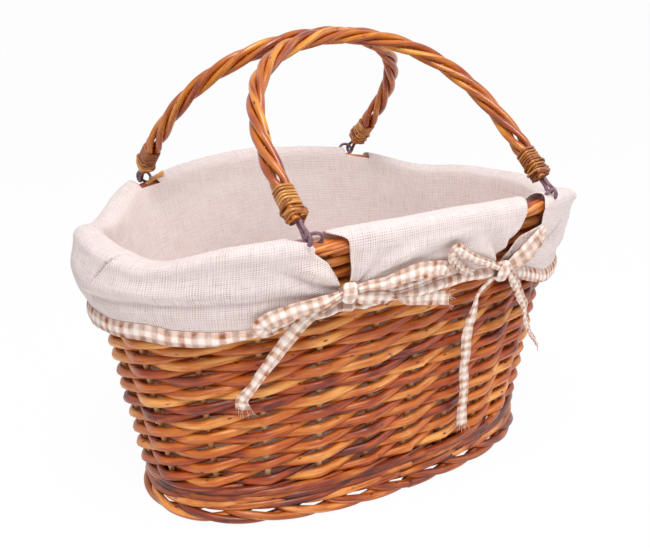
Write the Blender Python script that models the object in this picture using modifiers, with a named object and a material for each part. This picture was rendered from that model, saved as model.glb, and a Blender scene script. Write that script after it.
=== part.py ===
"""Oval willow basket with a tied cloth liner and two swing handles of twisted rods.

Metres, +Z up. The origin is the middle of the foot on the ground, +X runs along the oval's
length and -Y is the front. Every ring of the basket follows one oval wall, whose half length
and half width grow with height, so a piece is placed by its angle round the oval, its height
and its distance outward from the middle of the wall.
"""

import math

import bmesh
import bpy
from mathutils import Matrix, Vector

# The oval wall, along the middle of its thickness
OVAL_POWER = 2.3
BASE_HALF_LENGTH = 0.148
BASE_HALF_WIDTH = 0.078
END_LEAN_SHARE = 0.177
SIDE_LEAN_SHARE = 0.195
SIDE_FLARE = 0.0155
FLARE_START = 0.130
FLARE_HEIGHT = 0.0775
WALL_THICKNESS = 0.014
CLEARANCE = 0.0003

# Foot, base and wale
FOOT_HEIGHT = 0.0115
FOOT_WIDTH = 0.015
FOOT_CHAMFER = 0.0025
BASE_HEIGHT = 0.007
BASE_THICKNESS = 0.0125
BASE_STICK_DIAMETER = 0.0046
LONG_STICKS = 3
LONG_STICK_SPACING = 0.032
CROSS_STICKS = 3
CROSS_STICK_SPACING = 0.072
STICK_SKIN = 0.0012
WALE_HEIGHT = 0.0172
WALE_BULGE = 0.0015

# Side stakes, and the border that their tops reach
STAKES = 22
STAKE_DIAMETER = 0.005
BORDER_TOP = 0.218
BORDER_HEIGHT = 0.010
END_DIP = 0.018

# The rods of the side: height of a row, and how far the wall's face lies from its middle
ROW_HEIGHT = 0.00592
STROKE_BULGE = 0.008
STROKE_GAP = 0.0042
BETWEEN_STAKES = 0.0038

# Wire rings in the border, which the handles hang on
FOOT_SPAN = 0.204
PIVOT_HALF_SPAN = 0.125
PIVOT_HEIGHT = 0.217
WIRE_DIAMETER = 0.0017
RING_RADIUS = 0.0076
RING_TILT = math.radians(35)

# Handles
ARCH_RISE = 0.161
ARCH_SPAN_POWER = 2.0
ARCH_RISE_POWER = 3.55
HANDLE_RODS = 4
HANDLE_ROD_DIAMETER = 0.0044
ROD_CIRCLE = 0.00355
ROD_CIRCLE_AT_ENDS = 0.0040
TWIST_TURNS = 3.5
ROD_END_HEIGHT = 0.016
ROD_END_TRIM = 0.0025
HANDLES_APART = 0.0010
EYE_RADIUS = 0.0027
EYE_NECK = 0.0095
EYE_SHANK_SPACING = 0.0019
EYE_LENGTH = 0.0265

# Skein bindings round the handle ends
SKEIN_DIAMETER = 0.0018
SKEIN_PITCH = 0.0027
SKEIN_TURNS = 8
BINDING_START = 0.0205

# Cloth
CLOTH_THICKNESS = 0.0012
CLOTH_EASE = 0.0013
SKIRT_EASE = 0.0032
FOLD_DEPTH = 0.0016
FOLDS = 16
SLIT_WIDTH = 0.026
SLIT_WIDTH_AT_TIE = 0.003
HEM_HEIGHT = 0.011
HEM_THICKNESS = 0.002
HEM_AT_MIDDLE = 0.169
HEM_AT_END = 0.142
HEM_FALL_LENGTH = 0.085
FRONT_LEFT_TIE = -0.075
FRONT_RIGHT_TIE = 0.050
BACK_RIGHT_TIE = 0.065
BACK_LEFT_TIE = -0.065

# Bows
RIBBON_WIDTH = 0.013
RIBBON_THICKNESS = 0.0012
KNOT_LENGTH = 0.013
KNOT_HEIGHT = 0.014
KNOT_DEPTH = 0.007
BOW_EASE = 0.0020
BOW_LOOP_LENGTH = 0.058
BOW_LOOP_DEPTH = 0.006
BOW_LOOP_SAG = 0.007
BOW_LOOP_ENDS = 0.4
BOW_TAIL_LENGTH = 0.076
TAIL_DEPTH_SHARES = (0.37, 0.65)
BOW_TAIL_SPREAD = 0.046

# Fineness of the meshes
COLUMNS_PER_STAKE = 2
WALL_LEVEL_SHARES = (0.0, 0.5, 0.78, 1.0)
BORDER_SIDES = 8
ARC_SAMPLES = 720
ROD_STEPS = 33
SKEIN_STEPS = 8
LOOP_STEPS = 7
TAIL_STEPS = 3
RING_STEPS = 16
TUBE_RESOLUTION = 1
TUBE_SIDES = 6
OVERRUN = 0.003

# Colours, roughness and metallic value
HONEY_WILLOW = ((0.50, 0.21, 0.07), 0.45, 0.0)
DARK_WILLOW = ((0.33, 0.12, 0.045), 0.5, 0.0)
PALE_STAKE = ((0.58, 0.40, 0.24), 0.6, 0.0)
SKEIN_WILLOW = ((0.52, 0.27, 0.10), 0.45, 0.0)
PAINTED_WIRE = ((0.24, 0.13, 0.16), 0.4, 0.2)
LINEN = ((0.78, 0.71, 0.69), 0.95, 0.0)
GINGHAM = ((0.66, 0.50, 0.42), 0.95, 0.0)


def clear_scene():
    for obj in list(bpy.data.objects):
        bpy.data.objects.remove(obj, do_unlink=True)


def new_collection(name):
    made = bpy.data.collections.new(name)
    bpy.context.scene.collection.children.link(made)
    return made


def new_material(name, look):
    colour, roughness, metallic = look
    made = bpy.data.materials.new(name)
    made.use_nodes = True
    shader = made.node_tree.nodes["Principled BSDF"]
    shader.inputs["Base Color"].default_value = (*colour, 1.0)
    shader.inputs["Roughness"].default_value = roughness
    shader.inputs["Metallic"].default_value = metallic
    return made


def signed_power(value, power):
    return math.copysign(abs(value) ** power, value)


# The oval wall


def wall_axes(height):
    """Half length and half width of the wall's middle at a height."""
    flare = max(0.0, min(1.0, (height - FLARE_START) / FLARE_HEIGHT))
    half_length = BASE_HALF_LENGTH + END_LEAN_SHARE * height
    half_width = BASE_HALF_WIDTH + SIDE_LEAN_SHARE * height + SIDE_FLARE * flare * flare
    return half_length, half_width


def wall_point(angle, height, outward=0.0):
    """The point at an angle round the oval, moved outward square to the wall's plan."""
    half_length, half_width = wall_axes(height)
    along = signed_power(math.cos(angle), 2 / OVAL_POWER)
    across = signed_power(math.sin(angle), 2 / OVAL_POWER)
    out = outward_direction(angle, height)
    return Vector((half_length * along, half_width * across, height)) + outward * out


def outward_direction(angle, height):
    half_length, half_width = wall_axes(height)
    along = signed_power(math.cos(angle), 2 - 2 / OVAL_POWER) / half_length
    across = signed_power(math.sin(angle), 2 - 2 / OVAL_POWER) / half_width
    return Vector((along, across, 0.0)).normalized()


def angle_at_x(x, height, front):
    """The angle where the wall passes a distance along X, on the front or the back side."""
    share = max(-1.0, min(1.0, x / wall_axes(height)[0]))
    angle = math.acos(signed_power(share, OVAL_POWER / 2))
    return -angle if front else angle


def arc_table(height):
    """(angle, distance) pairs round the oval, from the middle of the front."""
    table = [(-math.pi / 2, 0.0)]
    last = wall_point(-math.pi / 2, height)
    for step in range(1, ARC_SAMPLES + 1):
        angle = -math.pi / 2 + 2 * math.pi * step / ARC_SAMPLES
        point = wall_point(angle, height)
        table.append((angle, table[-1][1] + (point - last).length))
        last = point
    return table


def angle_at_distance(table, distance):
    whole = table[-1][1]
    turns = math.floor(distance / whole)
    distance -= turns * whole
    for (angle, reached), (next_angle, next_reached) in zip(table, table[1:]):
        if distance <= next_reached:
            share = (distance - reached) / (next_reached - reached)
            return angle + share * (next_angle - angle) + turns * 2 * math.pi
    return table[-1][0] + turns * 2 * math.pi


def distance_at_angle(table, angle):
    while angle < table[0][0]:
        angle += 2 * math.pi
    for (before, reached), (after, next_reached) in zip(table, table[1:]):
        if angle <= after:
            return reached + (next_reached - reached) * (angle - before) / (after - before)
    return table[-1][1]


def even_angles(count):
    table = arc_table(BORDER_TOP / 2)
    return [angle_at_distance(table, table[-1][1] * i / count) for i in range(count)]


def border_height(angle):
    """Height of the border's middle, which dips towards the two ends."""
    along = signed_power(math.cos(angle), 2 / OVAL_POWER)
    return BORDER_TOP - BORDER_HEIGHT / 2 - END_DIP * along * along


def wall_top(angle):
    return border_height(angle) - BORDER_HEIGHT / 2 - CLEARANCE


WALE_BOTTOM = FOOT_HEIGHT + CLEARANCE
WALE_TOP = WALE_BOTTOM + WALE_HEIGHT
WALL_BOTTOM = WALE_TOP + CLEARANCE
BASE_TOP = BASE_HEIGHT + BASE_THICKNESS


def wall_levels(angle):
    rise = wall_top(angle) - WALL_BOTTOM
    return [WALL_BOTTOM + share * rise for share in WALL_LEVEL_SHARES]


# Meshes


def add_object(name, mesh, place, look):
    made = bpy.data.objects.new(name, mesh)
    place.objects.link(made)
    if look:
        made.data.materials.append(look)
    return made


def make_outward(mesh):
    """Turns every face of a closed mesh to point out of it."""
    shape = bmesh.new()
    shape.from_mesh(mesh)
    bmesh.ops.recalc_face_normals(shape, faces=shape.faces)
    shape.to_mesh(mesh)
    shape.free()


def mesh_from(name, points, faces):
    mesh = bpy.data.meshes.new(name)
    mesh.from_pydata([tuple(point) for point in points], [], faces)
    make_outward(mesh)
    return mesh


def closed_ring(name, angles, profile, place, look):
    """A ring round the oval: a loft of one closed outline, (outward, height), at each angle."""
    sections = [[wall_point(a, z, out) for out, z in profile(a)] for a in angles]
    size = len(sections[0])
    count = len(sections)
    points = [point for section in sections for point in section]
    faces = []
    for i in range(count):
        for k in range(size):
            after = (i + 1) % count
            up = (k + 1) % size
            faces.append((i * size + k, after * size + k, after * size + up, i * size + up))
    return add_object(name, mesh_from(name, points, faces), place, look)


def tube(name, routes, diameter, place, look, closed=False):
    """A round tube along each route, as one curve object."""
    curve = bpy.data.curves.new(name, "CURVE")
    curve.dimensions = "3D"
    curve.bevel_depth = diameter / 2
    curve.bevel_resolution = TUBE_RESOLUTION
    curve.use_fill_caps = not closed
    for route in routes:
        spline = curve.splines.new("POLY")
        spline.points.add(len(route) - 1)
        for point, place_at in zip(spline.points, route):
            point.co = (*place_at, 1.0)
        spline.use_cyclic_u = closed
    return add_object(name, curve, place, look)


def channel_width(diameter):
    """Width of the cutter that leaves the clearance on a tube's flats too."""
    return diameter + 2 * CLEARANCE / math.cos(math.pi / TUBE_SIDES)


def to_mesh(obj):
    """Turns a curve object into a welded mesh object of the same name."""
    graph = bpy.context.evaluated_depsgraph_get()
    mesh = bpy.data.meshes.new_from_object(obj.evaluated_get(graph))
    shape = bmesh.new()
    shape.from_mesh(mesh)
    bmesh.ops.remove_doubles(shape, verts=shape.verts, dist=CLEARANCE / 100)
    bmesh.ops.recalc_face_normals(shape, faces=shape.faces)
    shape.to_mesh(mesh)
    shape.free()
    name = obj.name
    place = obj.users_collection[0]
    world = obj.matrix_world.copy()
    bpy.data.objects.remove(obj, do_unlink=True)
    made = bpy.data.objects.new(name, mesh)
    made.matrix_world = world
    place.objects.link(made)
    return made


def boolean(obj, other, operation):
    modifier = obj.modifiers.new(f"{operation.lower()}_{other.name}", "BOOLEAN")
    modifier.operation = operation
    modifier.object = other
    other.hide_render = True
    other.display_type = "WIRE"


def solid_from_strip(name, rows, thickness, place, look):
    """A ribbon: pairs of edge points, thickened to a closed solid."""
    points = [point for row in rows for point in row]
    faces = [(2 * i, 2 * i + 1, 2 * i + 3, 2 * i + 2) for i in range(len(rows) - 1)]
    mesh = bpy.data.meshes.new(name)
    mesh.from_pydata([tuple(point) for point in points], [], faces)
    made = add_object(name, mesh, place, look)
    thicken(made, thickness, False)
    return made


def thicken(obj, thickness, even):
    modifier = obj.modifiers.new("thickness", "SOLIDIFY")
    modifier.thickness = thickness
    modifier.offset = 0.0
    modifier.use_even_offset = even


# Foot, base, wale, side and border


def make_foot(place, look):
    half = FOOT_WIDTH / 2
    outline = [
        (-half + FOOT_CHAMFER, 0.0),
        (half - FOOT_CHAMFER, 0.0),
        (half, FOOT_CHAMFER),
        (half, FOOT_HEIGHT - FOOT_CHAMFER),
        (half - FOOT_CHAMFER, FOOT_HEIGHT),
        (-half, FOOT_HEIGHT),
        (-half, FOOT_CHAMFER),
    ]
    angles = even_angles(STAKES * COLUMNS_PER_STAKE)
    return closed_ring("foot_border", angles, lambda angle: outline, place, look)


def base_edge(y, height):
    """Half length of the base disc along X at a distance y from its middle."""
    inset = FOOT_WIDTH / 2 + CLEARANCE
    half_length, half_width = wall_axes(height)
    share = 1 - (abs(y) / (half_width - inset)) ** OVAL_POWER
    return (half_length - inset) * share ** (1 / OVAL_POWER)


def base_edge_across(x, height):
    inset = FOOT_WIDTH / 2 + CLEARANCE
    half_length, half_width = wall_axes(height)
    share = 1 - (abs(x) / (half_length - inset)) ** OVAL_POWER
    return (half_width - inset) * share ** (1 / OVAL_POWER)


def make_base(place, cutters, weave, stick_look):
    """The woven oval base, with the lengthwise sticks threaded over the cross sticks."""
    angles = even_angles(STAKES * COLUMNS_PER_STAKE)
    inset = FOOT_WIDTH / 2 + CLEARANCE
    low = [wall_point(a, BASE_HEIGHT, -inset) for a in angles]
    high = [Vector((p.x, p.y, BASE_TOP)) for p in low]
    count = len(angles)
    faces = [tuple(range(count)), tuple(range(count, 2 * count))]
    for i in range(count):
        after = (i + 1) % count
        faces.append((i, after, count + after, count + i))
    base = add_object("base_weave", mesh_from("base_weave", low + high, faces), place, weave)
    radius = BASE_STICK_DIAMETER / 2
    long_height = BASE_TOP - STICK_SKIN - CLEARANCE - radius
    cross_height = BASE_HEIGHT + STICK_SKIN + CLEARANCE + radius
    channels = []
    for i in range(LONG_STICKS):
        y = (i - (LONG_STICKS - 1) / 2) * LONG_STICK_SPACING
        reach = base_edge(y, BASE_HEIGHT) - radius
        ends = [Vector((-reach, y, long_height)), Vector((reach, y, long_height))]
        tube(f"base_long_stick_{i + 1}", [ends], BASE_STICK_DIAMETER, place, stick_look)
        channels.append([Vector((side * (reach + FOOT_WIDTH), y, long_height)) for side in (-1, 1)])
    for i in range(CROSS_STICKS):
        x = (i - (CROSS_STICKS - 1) / 2) * CROSS_STICK_SPACING
        reach = base_edge_across(x, BASE_HEIGHT) - radius
        ends = [Vector((x, -reach, cross_height)), Vector((x, reach, cross_height))]
        tube(f"base_cross_stick_{i + 1}", [ends], BASE_STICK_DIAMETER, place, stick_look)
        channels.append([Vector((x, side * (reach + FOOT_WIDTH), cross_height)) for side in (-1, 1)])
    for i, channel in enumerate(channels):
        width = channel_width(BASE_STICK_DIAMETER)
        cutter = to_mesh(tube(f"stick_channel_{i + 1}", [channel], width, cutters, None))
        boolean(base, cutter, "DIFFERENCE")


def make_wale(place, look):
    half = WALL_THICKNESS / 2
    third = WALE_HEIGHT / 3

    def outline(angle):
        return [
            (-half, WALE_BOTTOM),
            (half, WALE_BOTTOM),
            (half + WALE_BULGE, WALE_BOTTOM + third),
            (half + WALE_BULGE, WALE_TOP - third),
            (half, WALE_TOP),
            (-half, WALE_TOP),
        ]

    angles = even_angles(STAKES * COLUMNS_PER_STAKE)
    return closed_ring("lower_wale", angles, outline, place, look)


def make_side(place, look):
    """The wall: the rods' strokes stand out in front of each stake, one for every two rows."""
    half = WALL_THICKNESS / 2
    angles = even_angles(STAKES * COLUMNS_PER_STAKE)
    at_stakes = angles[::COLUMNS_PER_STAKE]
    rows = int((HEM_AT_MIDDLE - WALL_BOTTOM) / ROW_HEIGHT)

    def outline(angle):
        point = wall_point(angle, HEM_AT_END)
        covered = hem_bottom(point.x, point.y < 0)
        face = []
        for row in range(rows + 1):
            height = WALL_BOTTOM + row * ROW_HEIGHT
            outward = STROKE_BULGE if row % 2 else STROKE_GAP
            if angle not in at_stakes:
                outward = BETWEEN_STAKES
            face.append((half if height > covered else outward, height))
        top = wall_top(angle)
        face += [(half, (face[-1][1] + top) / 2), (half, top)]
        return face + [(-half, z) for z in reversed(wall_levels(angle))]

    return closed_ring("side_weave", angles, outline, place, look)


def make_border(place, look):
    def outline(angle):
        middle = border_height(angle)
        turns = [2 * math.pi * (k + 0.5) / BORDER_SIDES for k in range(BORDER_SIDES)]
        fit = math.cos(math.pi / BORDER_SIDES)
        half_width = WALL_THICKNESS / 2 / fit
        half_height = BORDER_HEIGHT / 2 / fit
        return [(half_width * math.cos(t), middle + half_height * math.sin(t)) for t in turns]

    angles = even_angles(STAKES * COLUMNS_PER_STAKE)
    made = closed_ring("rim_border", angles, outline, place, look)
    made.data.shade_smooth()
    return made


def stake_route(angle, longer):
    """Up the middle of the wall, bending where the wall bends, and longer at each end."""
    route = [wall_point(angle, z) for z in [WALE_BOTTOM] + wall_levels(angle)]
    first = (route[0] - route[1]).normalized()
    last = (route[-1] - route[-2]).normalized()
    return [route[0] + first * longer] + route[1:-1] + [route[-1] + last * longer]


def make_stakes(place, cutters, look, side, wale):
    angles = even_angles(STAKES)
    for i, angle in enumerate(angles):
        route = stake_route(angle, -STAKE_DIAMETER / 4)
        tube(f"stake_{i + 1:02d}", [route], STAKE_DIAMETER, place, look)
    routes = [stake_route(angle, OVERRUN) for angle in angles]
    width = channel_width(STAKE_DIAMETER)
    cutter = to_mesh(tube("stake_channels", routes, width, cutters, None))
    boolean(side, cutter, "DIFFERENCE")
    boolean(wale, cutter, "DIFFERENCE")


# Rings in the border


def ring_frame(x, front):
    """World matrix of a ring: its own plane holds the border's run and leans outward."""
    sign = -1 if front else 1
    top = Vector((x, sign * PIVOT_HALF_SPAN, PIVOT_HEIGHT))
    angle = angle_at_x(x, PIVOT_HEIGHT, front)
    out = outward_direction(angle, PIVOT_HEIGHT)
    up = Vector((0.0, 0.0, 1.0))
    along = up.cross(out)
    lean = out * math.sin(RING_TILT) + up * math.cos(RING_TILT)
    axis = along.cross(lean)
    turn = Matrix((along, lean, axis)).transposed().to_4x4()
    return Matrix.Translation(top - lean * RING_RADIUS) @ turn


def add_torus(name, world, thickness, place, look):
    route = []
    for k in range(RING_STEPS):
        turn = 2 * math.pi * k / RING_STEPS
        spot = Vector((RING_RADIUS * math.cos(turn), RING_RADIUS * math.sin(turn), 0.0))
        route.append(world @ spot)
    return tube(name, [route], thickness, place, look, closed=True)


def make_rings(place, cutters, look, border):
    for side_name, front in (("front", True), ("back", False)):
        for end_name, sign in (("left", -1), ("right", 1)):
            world = ring_frame(sign * FOOT_SPAN / 2, front)
            add_torus(f"{side_name}_{end_name}_rim_ring", world, WIRE_DIAMETER, place, look)
            hole = add_torus(
                f"{side_name}_{end_name}_ring_hole",
                world,
                channel_width(WIRE_DIAMETER),
                cutters,
                None,
            )
            boolean(border, to_mesh(hole), "DIFFERENCE")


# Handles, modelled upright about their joint axis, in the XZ plane


def arch_points():
    """(point, distance along the arch) from the left pivot to the right one."""
    listed = []
    reached = 0.0
    for step in range(ARC_SAMPLES + 1):
        turn = math.pi * (1 - step / ARC_SAMPLES)
        x = FOOT_SPAN / 2 * signed_power(math.cos(turn), 2 / ARCH_SPAN_POWER)
        z = ARCH_RISE * abs(math.sin(turn)) ** (2 / ARCH_RISE_POWER)
        point = Vector((x, 0.0, z))
        if listed:
            reached += (point - listed[-1][0]).length
        listed.append((point, reached))
    return listed


def arch_at(listed, distance):
    """Point and tangent of the arch at a distance from its left pivot."""
    for (point, reached), (after, next_reached) in zip(listed, listed[1:]):
        if distance <= next_reached or after is listed[-1][0]:
            share = (distance - reached) / (next_reached - reached)
            return point.lerp(after, share), (after - point).normalized()
    return listed[-1][0], Vector((0.0, 0.0, -1.0))


def smooth_step(share):
    share = max(0.0, min(1.0, share))
    return share * share * (3 - 2 * share)


BINDING_END = BINDING_START + SKEIN_PITCH * SKEIN_TURNS


def rod_point(listed, whole, distance, place_turn):
    """The middle of one handle rod: parallel within the bindings, twisted between them."""
    point, tangent = arch_at(listed, distance)
    across = Vector((0.0, 1.0, 0.0))
    inward = across.cross(tangent)
    twisted = whole - 2 * BINDING_END
    share = max(0.0, min(1.0, (distance - BINDING_END) / twisted))
    turn = place_turn + 2 * math.pi * TWIST_TURNS * share
    from_end = min(distance, whole - distance) - BINDING_END
    spread = ROD_CIRCLE_AT_ENDS - ROD_CIRCLE
    circle = ROD_CIRCLE_AT_ENDS - spread * smooth_step(from_end / BINDING_START)
    return point + circle * (math.cos(turn) * across + math.sin(turn) * inward)


def least_gap(route, diameter, apart):
    """Least gap of a wound tube to itself, between places further apart than given."""
    spots = []
    reached = 0.0
    for start, end in zip(route, route[1:]):
        for k in range(4):
            spots.append((start.lerp(end, k / 4), reached + (end - start).length * k / 4))
        reached += (end - start).length
    least = None
    for i, (spot, at) in enumerate(spots):
        for other, other_at in spots[i + 1:]:
            if other_at - at > apart:
                gap = (other - spot).length - diameter
                least = gap if least is None else min(least, gap)
    return least


def skein_route(listed, whole, mirrored):
    """One unbroken strand wound round the rod ends, with short straight ends."""
    bundle = ROD_CIRCLE_AT_ENDS + HANDLE_ROD_DIAMETER / 2
    fit = math.cos(math.pi / SKEIN_STEPS)
    radius = (bundle + CLEARANCE + SKEIN_DIAMETER / 2) / fit
    route = []
    for k in range(SKEIN_TURNS * SKEIN_STEPS + 1):
        turn = 2 * math.pi * k / SKEIN_STEPS
        climb = BINDING_START + SKEIN_PITCH * k / SKEIN_STEPS
        point, tangent = arch_at(listed, climb)
        across = Vector((0.0, 1.0, 0.0))
        inward = across.cross(tangent)
        route.append(point + radius * (math.cos(turn) * across + math.sin(turn) * inward))
    first = (route[0] - route[1]).normalized() * SKEIN_DIAMETER
    last = (route[-1] - route[-2]).normalized() * SKEIN_DIAMETER
    route = [route[0] + first] + route + [route[-1] + last]
    if mirrored:
        route = [Vector((-p.x, p.y, p.z)) for p in route]
    return route


def eye_route(x):
    """The long wire eye: round the ring's top, drawn in, then up between the rods."""
    half = EYE_SHANK_SPACING / 2
    route = []
    for k in range(9):
        turn = math.pi + math.pi * k / 8
        route.append(Vector((x, EYE_RADIUS * math.cos(turn), EYE_RADIUS * math.sin(turn))))
    route.append(Vector((x, EYE_RADIUS, EYE_RADIUS)))
    route.append(Vector((x, half, EYE_NECK)))
    for k in range(5):
        turn = math.pi * k / 4
        route.append(Vector((x, half * math.cos(turn), EYE_LENGTH + half * math.sin(turn))))
    route.append(Vector((x, -half, EYE_NECK)))
    route.append(Vector((x, -EYE_RADIUS, EYE_RADIUS)))
    return route


def handle_lean():
    """Angle from upright at which each handle rests, its top just short of the other's."""
    rod_reach = ROD_CIRCLE + HANDLE_ROD_DIAMETER / 2
    top_offset = rod_reach + HANDLES_APART / 2
    return math.asin((PIVOT_HALF_SPAN - top_offset) / ARCH_RISE)


def make_handle(name, front, place, rod_look, skein_look, wire_look):
    sign = -1 if front else 1
    pivot = bpy.data.objects.new(f"{name}_pivot", None)
    pivot.location = (0.0, sign * PIVOT_HALF_SPAN, PIVOT_HEIGHT)
    pivot.rotation_euler = (sign * handle_lean(), 0.0, 0.0)
    place.objects.link(pivot)
    listed = arch_points()
    whole = listed[-1][1]
    pieces = []
    for i in range(HANDLE_RODS):
        place_turn = 2 * math.pi * (i + 0.5) / HANDLE_RODS
        trim = ROD_END_TRIM * (i % 2)
        start = ROD_END_HEIGHT + trim
        end = whole - ROD_END_HEIGHT - (ROD_END_TRIM - trim)
        stops = [start + (end - start) * k / ROD_STEPS for k in range(ROD_STEPS + 1)]
        route = [rod_point(listed, whole, stop, place_turn) for stop in stops]
        pieces.append(tube(f"{name}_rod_{i + 1}", [route], HANDLE_ROD_DIAMETER, place, rod_look))
    for end_name, mirrored, x in (("left", False, -FOOT_SPAN / 2), ("right", True, FOOT_SPAN / 2)):
        route = skein_route(listed, whole, mirrored)
        binding = f"{name}_{end_name}_binding"
        pieces.append(tube(binding, [route], SKEIN_DIAMETER, place, skein_look))
        half_turn = SKEIN_STEPS * (route[2] - route[1]).length / 2
        gap = least_gap(route, SKEIN_DIAMETER, half_turn)
        print(f"{binding}: least gap to itself {gap * 1000:.2f} mm")
        eye = f"{name}_{end_name}_eye"
        pieces.append(tube(eye, [eye_route(x)], WIRE_DIAMETER, place, wire_look, closed=True))
    for piece in pieces:
        piece.parent = pivot


# Liner, hem and bows


TIES = (
    ("front_right", FRONT_RIGHT_TIE, True),
    ("back_right", BACK_RIGHT_TIE, False),
    ("back_left", BACK_LEFT_TIE, False),
    ("front_left", FRONT_LEFT_TIE, True),
)
PANEL_COLUMNS = (9, 8, 9, 8)


def hem_bottom(x, front):
    """Height of the hem's lower edge: level between the ties, lower round the ends."""
    ties = [tie for _, tie, on_front in TIES if on_front == front and tie * x > 0]
    past = abs(x) - abs(ties[0]) if ties else 0.0
    return HEM_AT_MIDDLE + (HEM_AT_END - HEM_AT_MIDDLE) * smooth_step(past / HEM_FALL_LENGTH)


def skirt_outward(angle, share):
    """Distance of the skirt from the wall's middle, with its folds growing downward."""
    resting = WALL_THICKNESS / 2 + CLOTH_EASE + CLOTH_THICKNESS / 2
    fold = FOLD_DEPTH * math.cos(FOLDS * angle)
    return resting + SKIRT_EASE * min(1.0, 2 * share) + fold * share


def liner_rows():
    """Rows of the liner from the base up, over the border and down to the hem.

    Each is (place of the row, slit share): the place gives outward distance and height at an
    angle, and the slit share says how far the slit's middle has moved from the foot to the tie
    and how wide it is there. None stands for a row below the slit.
    """
    inner = WALL_THICKNESS / 2 + CLOTH_EASE + CLOTH_THICKNESS / 2
    floor = BASE_TOP + CLOTH_EASE + CLOTH_THICKNESS / 2
    over = BORDER_HEIGHT / 2 + CLOTH_EASE + CLOTH_THICKNESS
    border_side = inner + CLOTH_EASE

    def bag(share):
        def spot(angle):
            top = border_height(angle) - BORDER_HEIGHT
            return -inner, floor + BORDER_HEIGHT / 2 + share * (top - floor - BORDER_HEIGHT / 2)

        return spot

    def at_border(outward, up):
        return lambda angle: (outward, border_height(angle) + up)

    def skirt(share):
        def spot(angle):
            top = border_height(angle) - BORDER_HEIGHT / 2
            point = wall_point(angle, HEM_AT_MIDDLE)
            low = hem_bottom(point.x, point.y < 0) + HEM_HEIGHT + CLEARANCE
            return skirt_outward(angle, share), top + share * (low - top)

        return spot

    rows = [(lambda angle: (-inner - BORDER_HEIGHT, floor), None)]
    rows.append((lambda angle: (-inner - CLOTH_EASE, floor + CLOTH_EASE), None))
    rows += [(bag(share), None) for share in (0.0, 0.5, 0.78, 1.0)]
    rows.append((at_border(-border_side, CLOTH_THICKNESS), (0.0, 0.9)))
    rows.append((at_border(-WALL_THICKNESS / 3, over), (0.0, 1.0)))
    rows.append((at_border(WALL_THICKNESS / 3, over), (0.0, 1.0)))
    rows.append((at_border(border_side, CLOTH_THICKNESS), (0.0, 1.0)))
    rows.append((skirt(0.0), (0.1, 0.95)))
    rows.append((skirt(0.45), (0.5, 0.6)))
    rows.append((skirt(1.0), (1.0, 0.0)))
    return rows


def row_angles(place, slit):
    """Column angles of one row: four panels, with a narrow column at each slit between them."""
    moved, widened = slit or (0.0, 0.7)
    width = SLIT_WIDTH_AT_TIE + (SLIT_WIDTH - SLIT_WIDTH_AT_TIE) * widened
    edges = []
    for _, tie, front in TIES:
        foot = math.copysign(FOOT_SPAN / 2, tie)
        middle = foot + moved * (tie - foot)
        height = min(place(angle_at_x(middle, PIVOT_HEIGHT, front))[1], BORDER_TOP)
        pair = [angle_at_x(middle + side * width / 2, height, front) for side in (-1, 1)]
        edges.append(sorted(pair))
    angles = []
    for i, columns in enumerate(PANEL_COLUMNS):
        start = edges[i][1]
        end = edges[(i + 1) % len(edges)][0]
        while end < start:
            end += 2 * math.pi
        angles += [start + (end - start) * k / columns for k in range(columns + 1)]
    return angles


def make_liner(place, look):
    """The bag, turned over the border as a skirt with four slits, thickened from one surface."""
    rows = liner_rows()
    points = []
    for spot, slit in rows:
        for angle in row_angles(spot, slit):
            outward, height = spot(angle)
            points.append(wall_point(angle, height, outward))
    count = len(points) // len(rows)
    gaps = []
    reached = -1
    for columns in PANEL_COLUMNS:
        reached += columns + 1
        gaps.append(reached)
    faces = [tuple(range(count))]
    for i, (_, slit) in enumerate(rows[1:]):
        for k in range(count):
            if k in gaps and slit:
                continue
            after = (k + 1) % count
            faces.append((i * count + k, i * count + after, (i + 1) * count + after, (i + 1) * count + k))
    liner = add_object("liner", mesh_from("liner", points, faces), place, look)
    thicken(liner, CLOTH_THICKNESS, True)


def make_hem(place, look):
    rows = liner_rows()
    spot, slit = rows[-1]
    half = HEM_THICKNESS / 2

    def outline(angle):
        outward, height = spot(angle)
        low = height - HEM_HEIGHT - CLEARANCE
        high = height - CLEARANCE
        return [
            (outward - half, low),
            (outward + half, low),
            (outward + half, high),
            (outward - half, high),
        ]

    return closed_ring("gingham_hem", row_angles(spot, slit), outline, place, look)


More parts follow.
